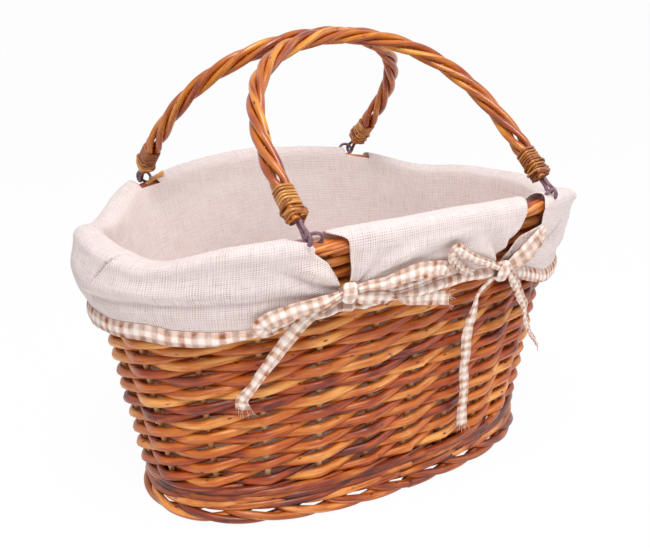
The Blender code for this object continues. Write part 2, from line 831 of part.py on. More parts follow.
def make_bow(name, tie, front, place, cutters, look):
    """A knot over the slit's foot, with two loops and two tails, joined to one solid."""
    height = HEM_AT_MIDDLE + HEM_HEIGHT / 2
    table = arc_table(height)
    start = distance_at_angle(table, angle_at_x(tie, height, front))
    direction = 1 if front else -1
    hug = WALL_THICKNESS / 2 + CLOTH_EASE + CLOTH_THICKNESS + SKIRT_EASE + FOLD_DEPTH
    hug += HEM_THICKNESS / 2 + BOW_EASE + RIBBON_THICKNESS / 2

    def at(along, up, outward):
        angle = angle_at_distance(table, start + direction * along)
        return wall_point(angle, height + up, hug + outward)

    ends = [angle_at_distance(table, start + side * KNOT_LENGTH / 2) for side in (-1, 0, 1)]
    seat = max(skirt_outward(angle, 1) for angle in ends) + HEM_THICKNESS / 2 + CLEARANCE
    depth = hug + KNOT_DEPTH - RIBBON_THICKNESS / 2 - seat
    bpy.ops.mesh.primitive_cube_add(size=1)
    knot = bpy.context.object
    knot.name = name
    knot.data.name = name
    for old in list(knot.users_collection):
        old.objects.unlink(knot)
    place.objects.link(knot)
    knot.data.materials.append(look)
    for corner in knot.data.vertices:
        along, up, share = corner.co
        outward = seat - hug + depth * (share + 1 / 2)
        corner.co = at(along * KNOT_LENGTH, up * KNOT_HEIGHT, outward)
    make_outward(knot.data)

    pieces = []
    half = RIBBON_WIDTH / 2
    for side in (-1, 1):
        rows = []
        for k in range(LOOP_STEPS + 1):
            spin = BOW_LOOP_ENDS + 2 * (math.pi - BOW_LOOP_ENDS) * k / LOOP_STEPS
            share = (1 - math.cos(spin)) / 2
            along = side * BOW_LOOP_LENGTH * share
            outward = BOW_LOOP_DEPTH * (1 + math.sin(spin)) / 2
            middle = -BOW_LOOP_SAG * share
            rows.append((at(along, middle - half, outward), at(along, middle + half, outward)))
        pieces.append(solid_from_strip(f"{name}_loop", rows, RIBBON_THICKNESS, cutters, None))
        rows = []
        tilt = math.atan2(side * BOW_TAIL_SPREAD, BOW_TAIL_LENGTH)
        across = half * math.cos(tilt)
        rise = half * math.sin(tilt)
        outward = BOW_LOOP_DEPTH * TAIL_DEPTH_SHARES[max(side, 0)]
        for k in range(TAIL_STEPS + 1):
            along = side * BOW_TAIL_SPREAD * k / TAIL_STEPS
            down = -BOW_TAIL_LENGTH * k / TAIL_STEPS
            rows.append(
                (
                    at(along - across, down - rise, outward),
                    at(along + across, down + rise, outward),
                )
            )
        pieces.append(solid_from_strip(f"{name}_tail", rows, RIBBON_THICKNESS, cutters, None))
    for piece in pieces:
        boolean(knot, piece, "UNION")


def main():
    clear_scene()
    basket = new_collection("willow_basket")
    cutters = new_collection("cutters")
    honey = new_material("honey_willow", HONEY_WILLOW)
    dark = new_material("dark_willow", DARK_WILLOW)
    pale = new_material("pale_stake_willow", PALE_STAKE)
    skein = new_material("split_willow_skein", SKEIN_WILLOW)
    wire = new_material("painted_wire", PAINTED_WIRE)
    linen = new_material("linen_cloth", LINEN)
    gingham = new_material("brown_gingham", GINGHAM)
    make_foot(basket, dark)
    make_base(basket, cutters, honey, pale)
    wale = make_wale(basket, dark)
    side = make_side(basket, honey)
    border = make_border(basket, honey)
    make_stakes(basket, cutters, pale, side, wale)
    make_rings(basket, cutters, wire, border)
    make_handle("front_handle", True, basket, honey, skein, wire)
    make_handle("back_handle", False, basket, honey, skein, wire)
    make_liner(basket, linen)
    make_hem(basket, gingham)
    for corner, tie, front in TIES:
        make_bow(f"{corner}_bow", tie, front, basket, cutters, gingham)


main()
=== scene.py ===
"""Looks of the lined willow basket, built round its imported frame.

Every woven rod, twisted handle rod, winding and wire is its own smooth strand on the frame's
sizes, and the cloth is one liner with a gingham hem and four tied bows.
"""

import math
import random

import bpy
import numpy as np
from mathutils import Matrix, Vector, noise


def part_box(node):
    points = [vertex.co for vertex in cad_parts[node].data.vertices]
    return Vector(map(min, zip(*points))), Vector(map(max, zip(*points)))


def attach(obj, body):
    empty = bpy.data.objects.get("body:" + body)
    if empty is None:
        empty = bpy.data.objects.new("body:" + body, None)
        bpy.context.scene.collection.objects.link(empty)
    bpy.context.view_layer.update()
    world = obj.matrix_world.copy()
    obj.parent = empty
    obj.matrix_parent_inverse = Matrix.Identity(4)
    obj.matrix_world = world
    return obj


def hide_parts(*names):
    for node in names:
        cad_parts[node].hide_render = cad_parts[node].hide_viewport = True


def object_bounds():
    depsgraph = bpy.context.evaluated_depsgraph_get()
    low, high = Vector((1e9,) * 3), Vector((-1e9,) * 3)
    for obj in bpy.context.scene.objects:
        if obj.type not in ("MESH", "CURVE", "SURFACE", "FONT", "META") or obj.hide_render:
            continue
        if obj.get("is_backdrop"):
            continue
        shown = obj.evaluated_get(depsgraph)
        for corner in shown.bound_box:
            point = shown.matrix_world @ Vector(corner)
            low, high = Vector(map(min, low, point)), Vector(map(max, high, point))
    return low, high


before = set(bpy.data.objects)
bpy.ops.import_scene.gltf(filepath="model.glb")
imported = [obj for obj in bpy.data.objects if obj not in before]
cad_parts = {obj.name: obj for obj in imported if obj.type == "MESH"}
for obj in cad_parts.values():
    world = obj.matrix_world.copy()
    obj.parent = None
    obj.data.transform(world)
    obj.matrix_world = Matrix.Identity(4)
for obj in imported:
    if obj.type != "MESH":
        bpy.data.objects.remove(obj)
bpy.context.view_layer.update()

chance = random.Random(7)

# The oval wall, as the frame has it, in metres
OVAL_POWER = 2.3
STAKES = 22
WALL_BOTTOM = 0.0293
BORDER_MIDDLE = 0.213
BORDER_HALF = 0.005
END_DIP = 0.018
FIRST_STROKE = 0.0342
PIVOT_Y = 0.125
PIVOT_Z = 0.217
FOOT_X = 0.102
# the stakes are evenly spaced round the wall at this height
SPACING_HEIGHT = 0.109


def mm(*values):
    """Millimetres as metres."""
    return np.array(values) * 0.001


def unit(vectors):
    return vectors / np.linalg.norm(vectors, axis=-1, keepdims=True)


def reaches(points, **closing):
    """Distances along a route to each of its points."""
    return np.concatenate([[0], np.cumsum(np.linalg.norm(np.diff(points, axis=0, **closing), axis=1))])


def smooth(value):
    value = np.clip(value, 0, 1)
    return value * value * (3 - 2 * value)


def wall_axes(z):
    flare = np.clip((z - 0.130) / 0.0775, 0, 1)
    return 0.148 + 0.177 * z, 0.078 + 0.195 * z + 0.0155 * flare * flare


def power(value, exponent):
    return np.sign(value) * np.abs(value) ** exponent


def outward(angle, z):
    """The level direction out of the wall, for arrays of angles and heights."""
    a, b = wall_axes(z)
    along = power(np.cos(angle), 2 - 2 / OVAL_POWER) / a
    across = power(np.sin(angle), 2 - 2 / OVAL_POWER) / b
    size = np.hypot(along, across)
    return np.stack([along / size, across / size, np.zeros_like(size)], -1)


def on_wall(angle, z, out):
    """Points at angles round the oval, at heights, a distance out from the wall's middle."""
    angle, z, out = np.broadcast_arrays(*(np.asarray(v, float) for v in (angle, z, out)))
    a, b = wall_axes(z)
    x = a * power(np.cos(angle), 2 / OVAL_POWER)
    y = b * power(np.sin(angle), 2 / OVAL_POWER)
    return np.stack([x, y, z], -1) + outward(angle, z) * out[..., None]


TABLE_ANGLES = np.radians(np.arange(-90, 271, 0.25))
TABLE_REACH = reaches(on_wall(TABLE_ANGLES, SPACING_HEIGHT, 0.0))
ROUND = TABLE_REACH[-1]


def stake_angle(place):
    """The oval's angle at a place counted in stakes from the middle of the front."""
    place = np.asarray(place, float)
    turns = np.floor(place / STAKES)
    reach = (place / STAKES - turns) * ROUND
    return np.interp(reach, TABLE_REACH, TABLE_ANGLES) + turns * 2 * math.pi


def stake_place(angle):
    """The other way round: the place, counted in stakes, of an angle."""
    turns = np.floor((np.asarray(angle, float) + math.pi / 2) / (2 * math.pi))
    within = angle - turns * 2 * math.pi
    return (np.interp(within, TABLE_ANGLES, TABLE_REACH) / ROUND + turns) * STAKES


def angle_at_x(x, z, front):
    """The oval's angle where the wall is at x, on its front or its back."""
    found = np.arccos(power(np.clip(x / wall_axes(z)[0], -1, 1), OVAL_POWER / 2))
    return -found if front else found


# where the rim sags: degrees round the oval, half width and depth
RIM_SAGS = ((38, 14, 0.0058), (144, 12.5, 0.0088), (202, 12, 0.0050), (338, 13, 0.0045))


def border_height(angle):
    along = power(np.cos(angle), 2 / OVAL_POWER)
    degrees = np.degrees(angle) % 360
    sag = sum(depth * np.exp(-(((degrees - middle) / half) ** 2)) for middle, half, depth in RIM_SAGS)
    return BORDER_MIDDLE - END_DIP * along * along - sag


def end_swell(angle):
    """The wall stands out a little more at the two ends of the oval."""
    return 0.0020 * smooth((np.abs(np.cos(angle)) - 0.80) / 0.15)


# Materials


def linear(code):
    """A linear colour from an sRGB hex value."""
    parts = [int(code[i : i + 2], 16) / 255 for i in (1, 3, 5)]
    made = [p / 12.92 if p <= 0.04045 else ((p + 0.055) / 1.055) ** 2.4 for p in parts]
    return (*made, 1.0)


def wire(tree, node, settings=None, links=None):
    """Sets a node's values and feeds its inputs, each from a node's first output or a named one."""
    for key, value in (settings or {}).items():
        if isinstance(key, int) or key in node.inputs:
            node.inputs[key].default_value = value
        else:
            setattr(node, key, value)
    for key, source in (links or {}).items():
        source, output = source if isinstance(source, tuple) else (source, 0)
        tree.links.new(source.outputs[output], node.inputs[key])
    return node


def add(tree, kind, settings=None, links=None):
    return wire(tree, tree.nodes.new("ShaderNode" + kind), settings, links)


def calc(tree, operation, *values):
    """A sum on numbers and on what other nodes give."""
    numbers = {index: value for index, value in enumerate(values) if isinstance(value, float)}
    fed = {index: value for index, value in enumerate(values) if not isinstance(value, float)}
    return add(tree, "Math", {"operation": operation, **numbers}, fed)


def ranged(tree, value, low, high, to_low=0.0, to_high=1.0):
    """Maps the range of a value to another one."""
    limits = {"From Min": low, "From Max": high, "To Min": to_low, "To Max": to_high}
    return add(tree, "MapRange", limits, {"Value": value})


def clouds(tree, place, scale, detail=2.0):
    return add(tree, "TexNoise", {"Scale": scale, "Detail": detail}, {"Vector": place})


def ramp(tree, value, stops):
    """The colours along a value, from (share, hex) pairs."""
    made = add(tree, "ValToRGB", {}, {"Fac": value})
    while len(made.color_ramp.elements) < len(stops):
        made.color_ramp.elements.new(0.5)
    for element, (share, code) in zip(made.color_ramp.elements, stops):
        element.position = share
        element.color = linear(code)
    return made


def relief(tree, height, strength, depth):
    return add(tree, "Bump", {"Strength": strength, "Distance": depth}, {"Height": height})


def new_material(name):
    made = bpy.data.materials.new(name)
    made.use_nodes = True
    return made, made.node_tree, made.node_tree.nodes["Principled BSDF"]


def willow(name, stops, roughness, coat):
    """Peeled willow rod under stain and varnish: long grain, blotches, bud scars, its own shade."""
    made, tree, shader = new_material(name)
    grain = add(tree, "UVMap", {"uv_map": "grain"})
    seed = add(tree, "Attribute", {"attribute_name": "rod_seed"})

    def pattern(kind, along, round_it, **settings):
        """A pattern along a strand, moved by the strand's own number so that no two are alike."""
        place = add(tree, "Mapping", {"Scale": (along, round_it, 1)}, {"Vector": grain})
        shift = add(tree, "VectorMath", {"operation": "SCALE", "Scale": 37.0}, {0: (seed, "Vector")})
        place = add(tree, "VectorMath", {"operation": "ADD"}, {0: place, 1: shift})
        return add(tree, kind, {"Scale": 1.0, **settings}, {"Vector": place})

    # grain streaks 0.7 mm wide and 25 mm long
    streaks = pattern("TexNoise", 40, 1400, Detail=3.0)
    # blotches of stain 25 mm long and half round the rod
    blotches = pattern("TexNoise", 40, 130, Detail=2.0)
    # bud scars 1.5 mm across, a few on each rod
    scar = ranged(tree, (pattern("TexVoronoi", 75, 160), "Distance"), 0.07, 0.16)
    tone = calc(tree, "MULTIPLY_ADD", (seed, "Fac"), 0.50, blotches)
    tone = calc(tree, "MULTIPLY_ADD", streaks, 0.40, tone)
    shade = ramp(tree, ranged(tree, tone, 0.60, 1.28), stops)
    scarred = add(tree, "Mix", {"data_type": "RGBA", 6: linear("#5A1E06")}, {0: scar, 7: shade})
    gloss = ranged(tree, streaks, 0.0, 1.0, roughness - 0.08, roughness + 0.12)
    height = calc(tree, "MULTIPLY_ADD", scar, 0.6, streaks)
    wire(
        tree,
        shader,
        {"IOR": 1.5, "Coat Weight": coat, "Coat Roughness": 0.22},
        {"Base Color": (scarred, 2), "Roughness": gloss, "Normal": relief(tree, height, 0.4, 0.0003)},
    )
    return made


def cut_end(name, rim, pith):
    """The cut across a willow rod: pale wood darkened by stain, with fine rings."""
    made, tree, shader = new_material(name)
    # rings and splits about 0.5 mm apart
    rings = clouds(tree, (add(tree, "TexCoord"), "Object"), 2000.0)
    shade = ramp(tree, rings, [(0.3, rim), (0.7, pith)])
    wire(tree, shader, {"Roughness": 0.8}, {"Base Color": shade})
    return made


def linen(name, shaded_hollow, shaded_open_hole, thread, light):
    """Slubby half-bleached linen in an open plain weave, with painted shade in its hollows, darker painted
    shade in its open holes, and paler raised threads.
    """
    made, tree, shader = new_material(name)
    weave = add(tree, "UVMap", {"uv_map": "weave"})
    # threads are under 1 mm apart, and are drawn 1.4 mm apart so that they show
    bands = 2 * math.pi / 20 / 0.0014
    threads, slubs = [], []
    for way, stretch in (("X", (70, 950, 1)), ("Y", (950, 70, 1))):
        look = {"bands_direction": way, "Scale": bands, "Distortion": 1.6, "Detail Scale": 0.6}
        threads.append((add(tree, "TexWave", look, {"Vector": weave}), "Fac"))
        # slubs 1 mm thick and 14 mm long, one set each way
        slubs.append(clouds(tree, add(tree, "Mapping", {"Scale": stretch}, {"Vector": weave}), 1.0))
    threads = calc(tree, "MAXIMUM", *threads)
    height = calc(tree, "MULTIPLY_ADD", threads, 0.85, calc(tree, "ADD", *slubs))
    level = ranged(tree, height, 0.95, 1.95)
    # painted shade: the weave's low places take the darkest colour, and its raised threads and slubs the
    # palest
    inside = ramp(tree, level, [(0.0, shaded_hollow), (0.45, thread), (1.0, light)])
    outside = ramp(tree, level, [(0.0, shaded_open_hole), (0.42, thread), (1.0, light)])
    # the cloth hangs free from about 245 mm up it, past the rim, and there shows its holes in patches,
    # painted as darker shade
    past = ranged(tree, (add(tree, "SeparateXYZ", {}, {0: weave}), 1), 0.235, 0.262)
    patchy = ranged(tree, clouds(tree, weave, 45.0, 1.0), 0.3, 0.6)
    share = calc(tree, "MULTIPLY", past, patchy)
    mixed = add(tree, "Mix", {"data_type": "RGBA"}, {0: share, 6: inside, 7: outside})
    # light comes through the thin cloth
    look = {
        "Roughness": 0.95,
        "Specular IOR Level": 0.2,
        "Subsurface Weight": 0.55,
        "Subsurface Radius": (1.0, 0.85, 0.8),
        "Subsurface Scale": 0.004,
    }
    wire(tree, shader, look, {"Base Color": (mixed, 2), "Normal": relief(tree, height, 0.3, 0.0004)})
    return made


def gingham(name, pale, middle, dark, square):
    """Cotton gingham: dyed and white threads in squares, dark where both are dyed."""
    made, tree, shader = new_material(name)
    weave = add(tree, "UVMap", {"uv_map": "weave"})
    # threads 0.8 mm apart, as coarse as they need to show
    fuzz = clouds(tree, weave, 1200.0)
    # faded patches 9 mm across
    worn = ranged(tree, clouds(tree, weave, 110.0), 0.35, 0.75, 0.0, 0.75)
    parts = add(tree, "SeparateXYZ", {}, {0: weave})
    stripes = []
    for way in (0, 1):
        place = calc(tree, "MULTIPLY", (parts, way), 1 / (2 * square))
        soft = calc(tree, "MULTIPLY_ADD", fuzz, 0.34, place)
        stripes.append(ranged(tree, calc(tree, "PINGPONG", soft, 0.5), 0.17, 0.33))
    level = ranged(tree, calc(tree, "ADD", *stripes), 0.0, 2.0)
    shade = ramp(tree, level, [(0.0, pale), (0.5, middle), (1.0, dark)])
    faded = add(tree, "Mix", {"data_type": "RGBA", 7: linear(pale)}, {0: worn, 6: shade})
    grey = ranged(tree, fuzz, 0.0, 1.0, 0.70, 1.2)
    multiply = {"data_type": "RGBA", "blend_type": "MULTIPLY", 0: 0.5}
    shade = add(tree, "Mix", multiply, {6: (faded, 2), 7: grey})
    look = {
        "Roughness": 0.95,
        "Specular IOR Level": 0.2,
        "Subsurface Weight": 0.3,
        "Subsurface Radius": (1.0, 0.8, 0.7),
        "Subsurface Scale": 0.002,
    }
    wire(tree, shader, look, {"Base Color": (shade, 2), "Normal": relief(tree, fuzz, 0.5, 0.0004)})
    return made


def painted_wire(name, worn, paint):
    """Steel wire dipped in brownish purple paint, with thin places."""
    made, tree, shader = new_material(name)
    # thin places about 2 mm across
    thin = clouds(tree, (add(tree, "TexCoord"), "Object"), 500.0, 3.0)
    links = {
        "Base Color": ramp(tree, thin, [(0.35, worn), (0.65, paint)]),
        "Roughness": ranged(tree, thin, 0.0, 1.0, 0.25, 0.5),
        "Normal": relief(tree, thin, 0.2, 0.0002),
    }
    wire(tree, shader, {}, links)
    return made


honey_stops = [(0.0, "#641400"), (0.3, "#AC4404"), (0.62, "#CA6C1A"), (1.0, "#F0AA58")]
russet_stops = [(0.0, "#400A00"), (0.35, "#842A00"), (0.7, "#B45A12"), (1.0, "#E6944A")]
amber_stops = [(0.0, "#641600"), (0.3, "#983A00"), (0.65, "#C06A02"), (1.0, "#E49E30")]
pale_stops = [(0.0, "#A06A3A"), (0.4, "#C8925A"), (1.0, "#E2B888")]
skein_stops = [(0.0, "#441200"), (0.35, "#823C02"), (0.7, "#AE6410"), (1.0, "#E4AC5C")]
honey = willow("varnished_honey_willow", honey_stops, 0.40, 0.22)
russet = willow("varnished_russet_willow", russet_stops, 0.40, 0.22)
amber = willow("varnished_amber_willow", amber_stops, 0.30, 0.45)
pale = willow("thinly_stained_stake_willow", pale_stops, 0.5, 0.15)
skein = willow("split_willow_skein", skein_stops, 0.30, 0.4)
cut_wood = cut_end("cut_willow", "#3A1404", "#9A5E2C")
wire_paint = painted_wire("purple_brown_dipped_wire", "#5A3844", "#8C6674")
# painted shade of the hollows, darker painted shade of the open holes, the thread, and its paler raised tops
cloth = linen("half_bleached_linen", "#CDB2AF", "#9A817D", "#E7D0CC", "#F2E0DC")
# squares of the check, in metres
CHECK = 0.0036
checks = gingham("brown_cotton_gingham", "#F8EEE8", "#DDB49C", "#9C6244", CHECK)
hem_checks = gingham("small_brown_gingham", "#F8EEE8", "#D8AE98", "#94583A", CHECK)


# Strands: woven rods, handle rods, windings and wires


def strand(points, normals, radius, seed, closed=False):
    points = np.asarray(points, float)
    radius = np.broadcast_to(np.asarray(radius, float), (len(points),))
    normals = np.broadcast_to(np.asarray(normals, float), points.shape)
    return points, normals, radius, seed, closed


def mesh_piece(name, points, faces, layer, uvs, materials):
    """An object of one mesh, its grain or threads kept in a UV map in metres."""
    mesh = bpy.data.meshes.new(name)
    mesh.from_pydata(points.tolist(), [], faces)
    mesh.uv_layers.new(name=layer).data.foreach_set("uv", np.array(uvs, np.float32).ravel())
    for material in materials:
        mesh.materials.append(material)
    made = bpy.data.objects.new(name, mesh)
    bpy.context.scene.collection.objects.link(made)
    return made


def strands_piece(name, strands, sides, materials, flatness=1.0):
    """One mesh of many tubes, each ring of points set square to its route."""
    verts, faces, uvs, seeds, ends = [], [], [], [], []
    turns = 2 * math.pi * np.arange(sides) / sides
    for points, normals, radius, seed, closed in strands:
        count = len(points)
        if closed:
            tangent = unit(np.roll(points, -1, 0) - np.roll(points, 1, 0))
        else:
            tangent = unit(np.gradient(points, axis=0))
        side = unit(np.cross(tangent, normals))
        lift = np.cross(side, tangent)
        rings = (
            points[:, None]
            + (radius[:, None] * flatness * np.cos(turns))[..., None] * lift[:, None]
            + (radius[:, None] * np.sin(turns))[..., None] * side[:, None]
        )
        start = len(seeds)
        verts.append(rings.reshape(-1, 3))
        seeds += [seed] * (count * sides)
        reach = reaches(points, append=points[:1])
        around = radius.mean() * 2 * math.pi / sides
        for i in range(count if closed else count - 1):
            ring, after = start + i * sides, start + (i + 1) % count * sides
            for k in range(sides):
                up = (k + 1) % sides
                faces.append((ring + k, ring + up, after + up, after + k))
                low, high = k * around, (k + 1) * around
                uvs += [(reach[i], low), (reach[i], high), (reach[i + 1], high), (reach[i + 1], low)]
                ends.append(0)
        if not closed:
            faces.append(tuple(start + k for k in reversed(range(sides))))
            faces.append(tuple(start + (count - 1) * sides + k for k in range(sides)))
            uvs += [(0.0, k * around) for k in range(2 * sides)]
            ends += [1, 1]
    made = mesh_piece(name, np.concatenate(verts), faces, "grain", uvs, materials)
    mesh = made.data
    mesh.attributes.new("rod_seed", "FLOAT", "POINT").data.foreach_set("value", np.array(seeds, np.float32))
    if len(materials) > 1:
        mesh.polygons.foreach_set("material_index", np.array(ends, np.int32))
    mesh.polygons.foreach_set("use_smooth", np.array([e == 0 for e in ends]))
    return made


def seat(piece, body, slot, *nodes):
    """The piece rides on a body and stands for its nodes."""
    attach(piece, body)
    if nodes:
        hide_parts(*nodes)
    return piece


def wall_strand(places, heights, outs, radius, seed):
    """A strand along the wall, through places counted in stakes."""
    angles = stake_angle(places)
    return strand(on_wall(angles, heights, outs), outward(angles, np.asarray(heights)), radius, seed)


def wobble(size, count, knots):
    """A slow random wander of a value along a strand."""
    marks = [chance.uniform(-size, size) for _ in range(knots + 1)]
    return np.interp(np.linspace(0, knots, count), range(knots + 1), marks)


# radii of the rods of the side, its stakes, the wale, the foot and the border
ROD = 0.0032
STAKE = 0.0022
WALE_ROD = 0.0026
FOOT_ROD = 0.0029
BORDER_ROD = 0.0024
# how far a rod of the side bows out in front of a stake, and behind one
REACH = 0.0045
# how much of the ends' swell the rods of the side take
END_SHARE = 1.65
# points of a rod's route from one stake to the next
STEPS = 8


def swing_at(climb):
    """In front of the stakes at 1 and behind them at -1, nearly straight between."""
    return np.arcsin(0.985 * np.cos(math.pi * climb)) / math.asin(0.985)


def row_height(climb, angle):
    """Rows lie wider apart at the foot than at the rim, and dip towards the oval's ends."""
    along = power(np.cos(angle), 2 / OVAL_POWER)
    return FIRST_STROKE + 0.00625 * climb - 0.0000263 * climb * climb - 0.0030 * along**4


def side_rods():
    """French randing: each rod climbs one row a stake, in front of one and behind the next."""
    made = []
    for rod in range(STAKES):
        stops = 34 * STEPS + 5
        climb = np.linspace(-1.0, 33.5, stops)
        places = rod + climb + wobble(0.02, stops, 34)
        angles = stake_angle(places)
        heights = np.maximum(row_height(climb, angles), WALL_BOTTOM + 0.0012) + wobble(0.0006, stops, 50)
        swing = swing_at(climb)
        outs = REACH * swing * (1 + wobble(0.10, stops, 34)) + 0.0003 + END_SHARE * end_swell(angles)
        # thickest where it bows out in front of a stake, and thinner towards its tip
        thick = ROD * (1.05 - 0.14 * ((climb / 15.5 + chance.random()) % 1.0))
        thick = thick * (1 + 0.20 * np.clip(swing, 0, 1)) * (1 + wobble(0.05, stops, 60))
        top = border_height(angles) - BORDER_HALF - 0.4 * ROD
        keep = (heights < top) & (heights > WALL_BOTTOM - 0.0005)
        first = int(np.argmax(keep))
        last = stops if keep[first:].all() else first + int(np.argmin(keep[first:]))
        # a rod that runs out is followed by the next one, behind a stake
        cut, end = first, 2 * STEPS * (1 + chance.randint(1, 6))
        while cut < last - 3:
            part = slice(cut, min(last, end + 3))
            made.append(wall_strand(places[part], heights[part], outs[part], thick[part], chance.random()))
            cut = end
            end += 2 * STEPS * chance.randint(4, 8)
            heights = heights + chance.uniform(-0.0006, 0.0006)
    return made


def stake_strands():
    made = []
    for index in range(STAKES):
        angle = float(stake_angle(index))
        top = float(border_height(angle)) - BORDER_HALF - 0.0012
        heights = np.linspace(0.0170, top, 24)
        points = on_wall(angle, heights, END_SHARE * end_swell(angle))
        made.append(strand(points, outward(angle, heights), STAKE, chance.random()))
    return made


def wale_rods():
    """A three-rod wale in three rounds: in front of two stakes and behind the third."""
    made = []
    # one stroke: places in stakes, and how far the rod lies up and out from its round's middle
    marks = np.array([-0.75, -0.3, 0.0, 0.5, 1.0, 1.3, 1.75, 2.25])
    lifts = mm(-1.9, -1.8, -1.3, 0.0, 1.3, 1.8, 1.9, 0.0)
    leans = mm(0.0, 4.0, 5.4, 6.2, 5.4, 4.0, 0.0, -5.0)
    for level, (middle, proud) in enumerate(((0.0144, 0.0020), (0.0200, 0.0006), (0.0253, 0.0006))):
        for rod in range(3):
            places, heights, outs = [], [], []
            for stroke in range(8):
                places += list(rod + 3 * stroke + marks + level * 0.37)
                heights += list(middle + lifts + chance.uniform(-0.0004, 0.0004))
                outs += list(leans * chance.uniform(0.9, 1.08) + proud)
            fine = np.linspace(places[0], places[-1], 8 * 26)
            ease = np.ones(3) / 3
            z, out = (
                np.convolve(np.pad(np.interp(fine, places, values), 1, "edge"), ease, "valid")
                for values in (heights, outs)
            )
            keep = fine <= places[0] + STAKES + 0.6
            radius = WALE_ROD * (1 + wobble(0.07, len(fine), 30)) * (1 + 0.1 * np.clip(out / 0.006, 0, 1))
            made.append(wall_strand(fine[keep], z[keep], out[keep], radius[keep], chance.random()))
    return made


def eased_route(marks, count):
    """Points along a smooth curve through marks, as (place, height, out) columns."""
    marks = np.asarray(marks, float)
    fine = np.linspace(0, len(marks) - 1, count)
    made = []
    for column in marks.T:
        slopes = np.gradient(column)
        cell = np.minimum(fine.astype(int), len(marks) - 2)
        t = fine - cell
        made.append(
            (2 * t**3 - 3 * t**2 + 1) * column[cell]
            + (t**3 - 2 * t**2 + t) * slopes[cell]
            + (-2 * t**3 + 3 * t**2) * column[cell + 1]
            + (t**3 - t**2) * slopes[cell + 1]
        )
    return made


def foot_rods():
    """The foot: each stake's end brought out under the wale, run along the ground and tucked in."""
    made = []
    marks = [
        (-0.25, 0.0135, 0.0010),
        (0.00, 0.0118, 0.0045),
        (0.30, 0.0086, 0.0090),
        (0.70, 0.0062, 0.0108),
        (1.10, 0.0042, 0.0112),
        (1.60, 0.0034, 0.0098),
        (2.00, 0.0052, 0.0076),
        (2.35, 0.0074, 0.0044),
        (2.60, 0.0092, 0.0000),
    ]
    for rod in range(STAKES):
        places, heights, outs = eased_route(marks, 44)
        shift = chance.uniform(-0.06, 0.06)
        radius = FOOT_ROD * (1 + wobble(0.06, 44, 6))
        heights = heights + np.interp(places, (-0.2, 0.6, 1.8), (0, 1, 0)) * chance.uniform(-0.0006, 0.0008)
        route = np.maximum(heights, radius)
        made.append(wall_strand(rod + places + shift, route, outs, radius, chance.random()))
    return made


def border_rods():
    """The rolled border: each stake laid down along the rim, up its face, over and in."""
    made = []
    marks = [
        (0.00, -0.0062, 0.0006),
        (0.15, -0.0042, 0.0040),
        (0.50, -0.0012, 0.0056),
        (1.00, 0.0014, 0.0046),
        (1.60, 0.0023, 0.0010),
        (2.20, 0.0014, -0.0032),
        (2.70, -0.0012, -0.0052),
        (3.20, -0.0045, -0.0040),
    ]
    for rod in range(STAKES):
        for beside in (0.0, 0.5):
            places, heights, outs = eased_route(marks, 36)
            places = places + rod + beside + chance.uniform(-0.04, 0.04)
            heights = heights + border_height(stake_angle(places)) - 0.0002
            radius = BORDER_ROD * (1 + wobble(0.06, 36, 6))
            made.append(wall_strand(places, heights, outs, radius, chance.random()))
    # the cut end of one stands out of the border beside the back left ring
    stub = mm(-101.0, 119.0, 210.0) + np.linspace(0, 1, 8)[:, None] * mm(16.5, 0.5, 8.5)
    made.append(strand(stub, (0.0, 0.0, 1.0), 0.0017, 0.95))
    return made


BASE_RIBS = 44
BASE_MIDDLE = 0.0146


def base_rods():
    """The underside: weavers wound in ovals over and under the spread sticks."""
    made = []
    for ring in range(14):
        inset = 0.0105 + 0.0048 * ring
        angles = np.linspace(0, 2 * math.pi, 4 * BASE_RIBS, endpoint=False)
        points = on_wall(angles, BASE_MIDDLE, -inset)
        points[:, 2] = BASE_MIDDLE + 0.0026 * np.cos(BASE_RIBS * angles / 2 + math.pi * ring)
        radius = 0.0022 * (1 + 0.04 * np.sin(3 * angles + ring))
        made.append(strand(points, (0.0, 0.0, 1.0), radius, chance.random(), closed=True))
    return made


def base_ribs():
    """The stakes' ends that fan out between the weavers of the base."""
    made = []
    for rib in range(BASE_RIBS):
        angle = 2 * math.pi * rib / BASE_RIBS
        reach = np.linspace(0.0085, 0.0760, 20)
        points = on_wall(angle, 0.0144, -reach)
        keep = np.abs(points[:, 1]) > 0.006
        points = points[keep]
        if len(points) > 3:
            made.append(strand(points, (0.0, 0.0, 1.0), 0.0018, chance.random()))
    return made


def woven(name, strands, sides, materials, slot, *nodes, flatness=1.0):
    seat(strands_piece(name, strands, sides, materials, flatness), "basket", slot, *nodes)


woven("woven_side", side_rods(), 8, [honey, cut_wood], "honey_willow", "side_weave", flatness=0.80)
for index, one in enumerate(stake_strands(), 1):
    woven(f"round_stake_{index:02d}", [one], 12, [pale, cut_wood], "pale_stake_willow", f"stake_{index:02d}")
woven("bottom_wale", wale_rods(), 8, [russet, cut_wood], "dark_willow", "lower_wale")
woven("plaited_foot", foot_rods(), 10, [russet, cut_wood], "dark_willow", "foot_border")
woven("rolled_border", border_rods(), 10, [honey, cut_wood], "honey_willow", "rim_border")
woven("woven_base", base_rods(), 8, [honey], "honey_willow", "base_weave")
woven("base_ribs", base_ribs(), 8, [pale, cut_wood], "pale_stake_willow")
for index in (1, 2, 3):
    for axis, kind in enumerate(("long", "cross")):
        node = f"base_{kind}_stick_{index}"
        low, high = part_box(node)
        points = np.tile(np.array((low + high) / 2), (12, 1))
        points[:, axis] += np.linspace(-1, 1, 12) * ((high - low) / 2)[axis]
        stick = strand(points, (0, 0, 1), 0.0023, chance.random())
        woven(f"round_{kind}_stick_{index}", [stick], 12, [pale, cut_wood], "pale_stake_willow", node)


# Handles, about their pivots as the frame has them, then leaned to rest

ARCH_RISE = 0.161
ARCH_RISE_POWER = 3.55
LEAN = math.asin((PIVOT_Y - 0.00625) / ARCH_RISE)
BINDING_START = 0.0145
BINDING_END = BINDING_START + 0.0027 * 8
TWIST_TURNS = 3.5
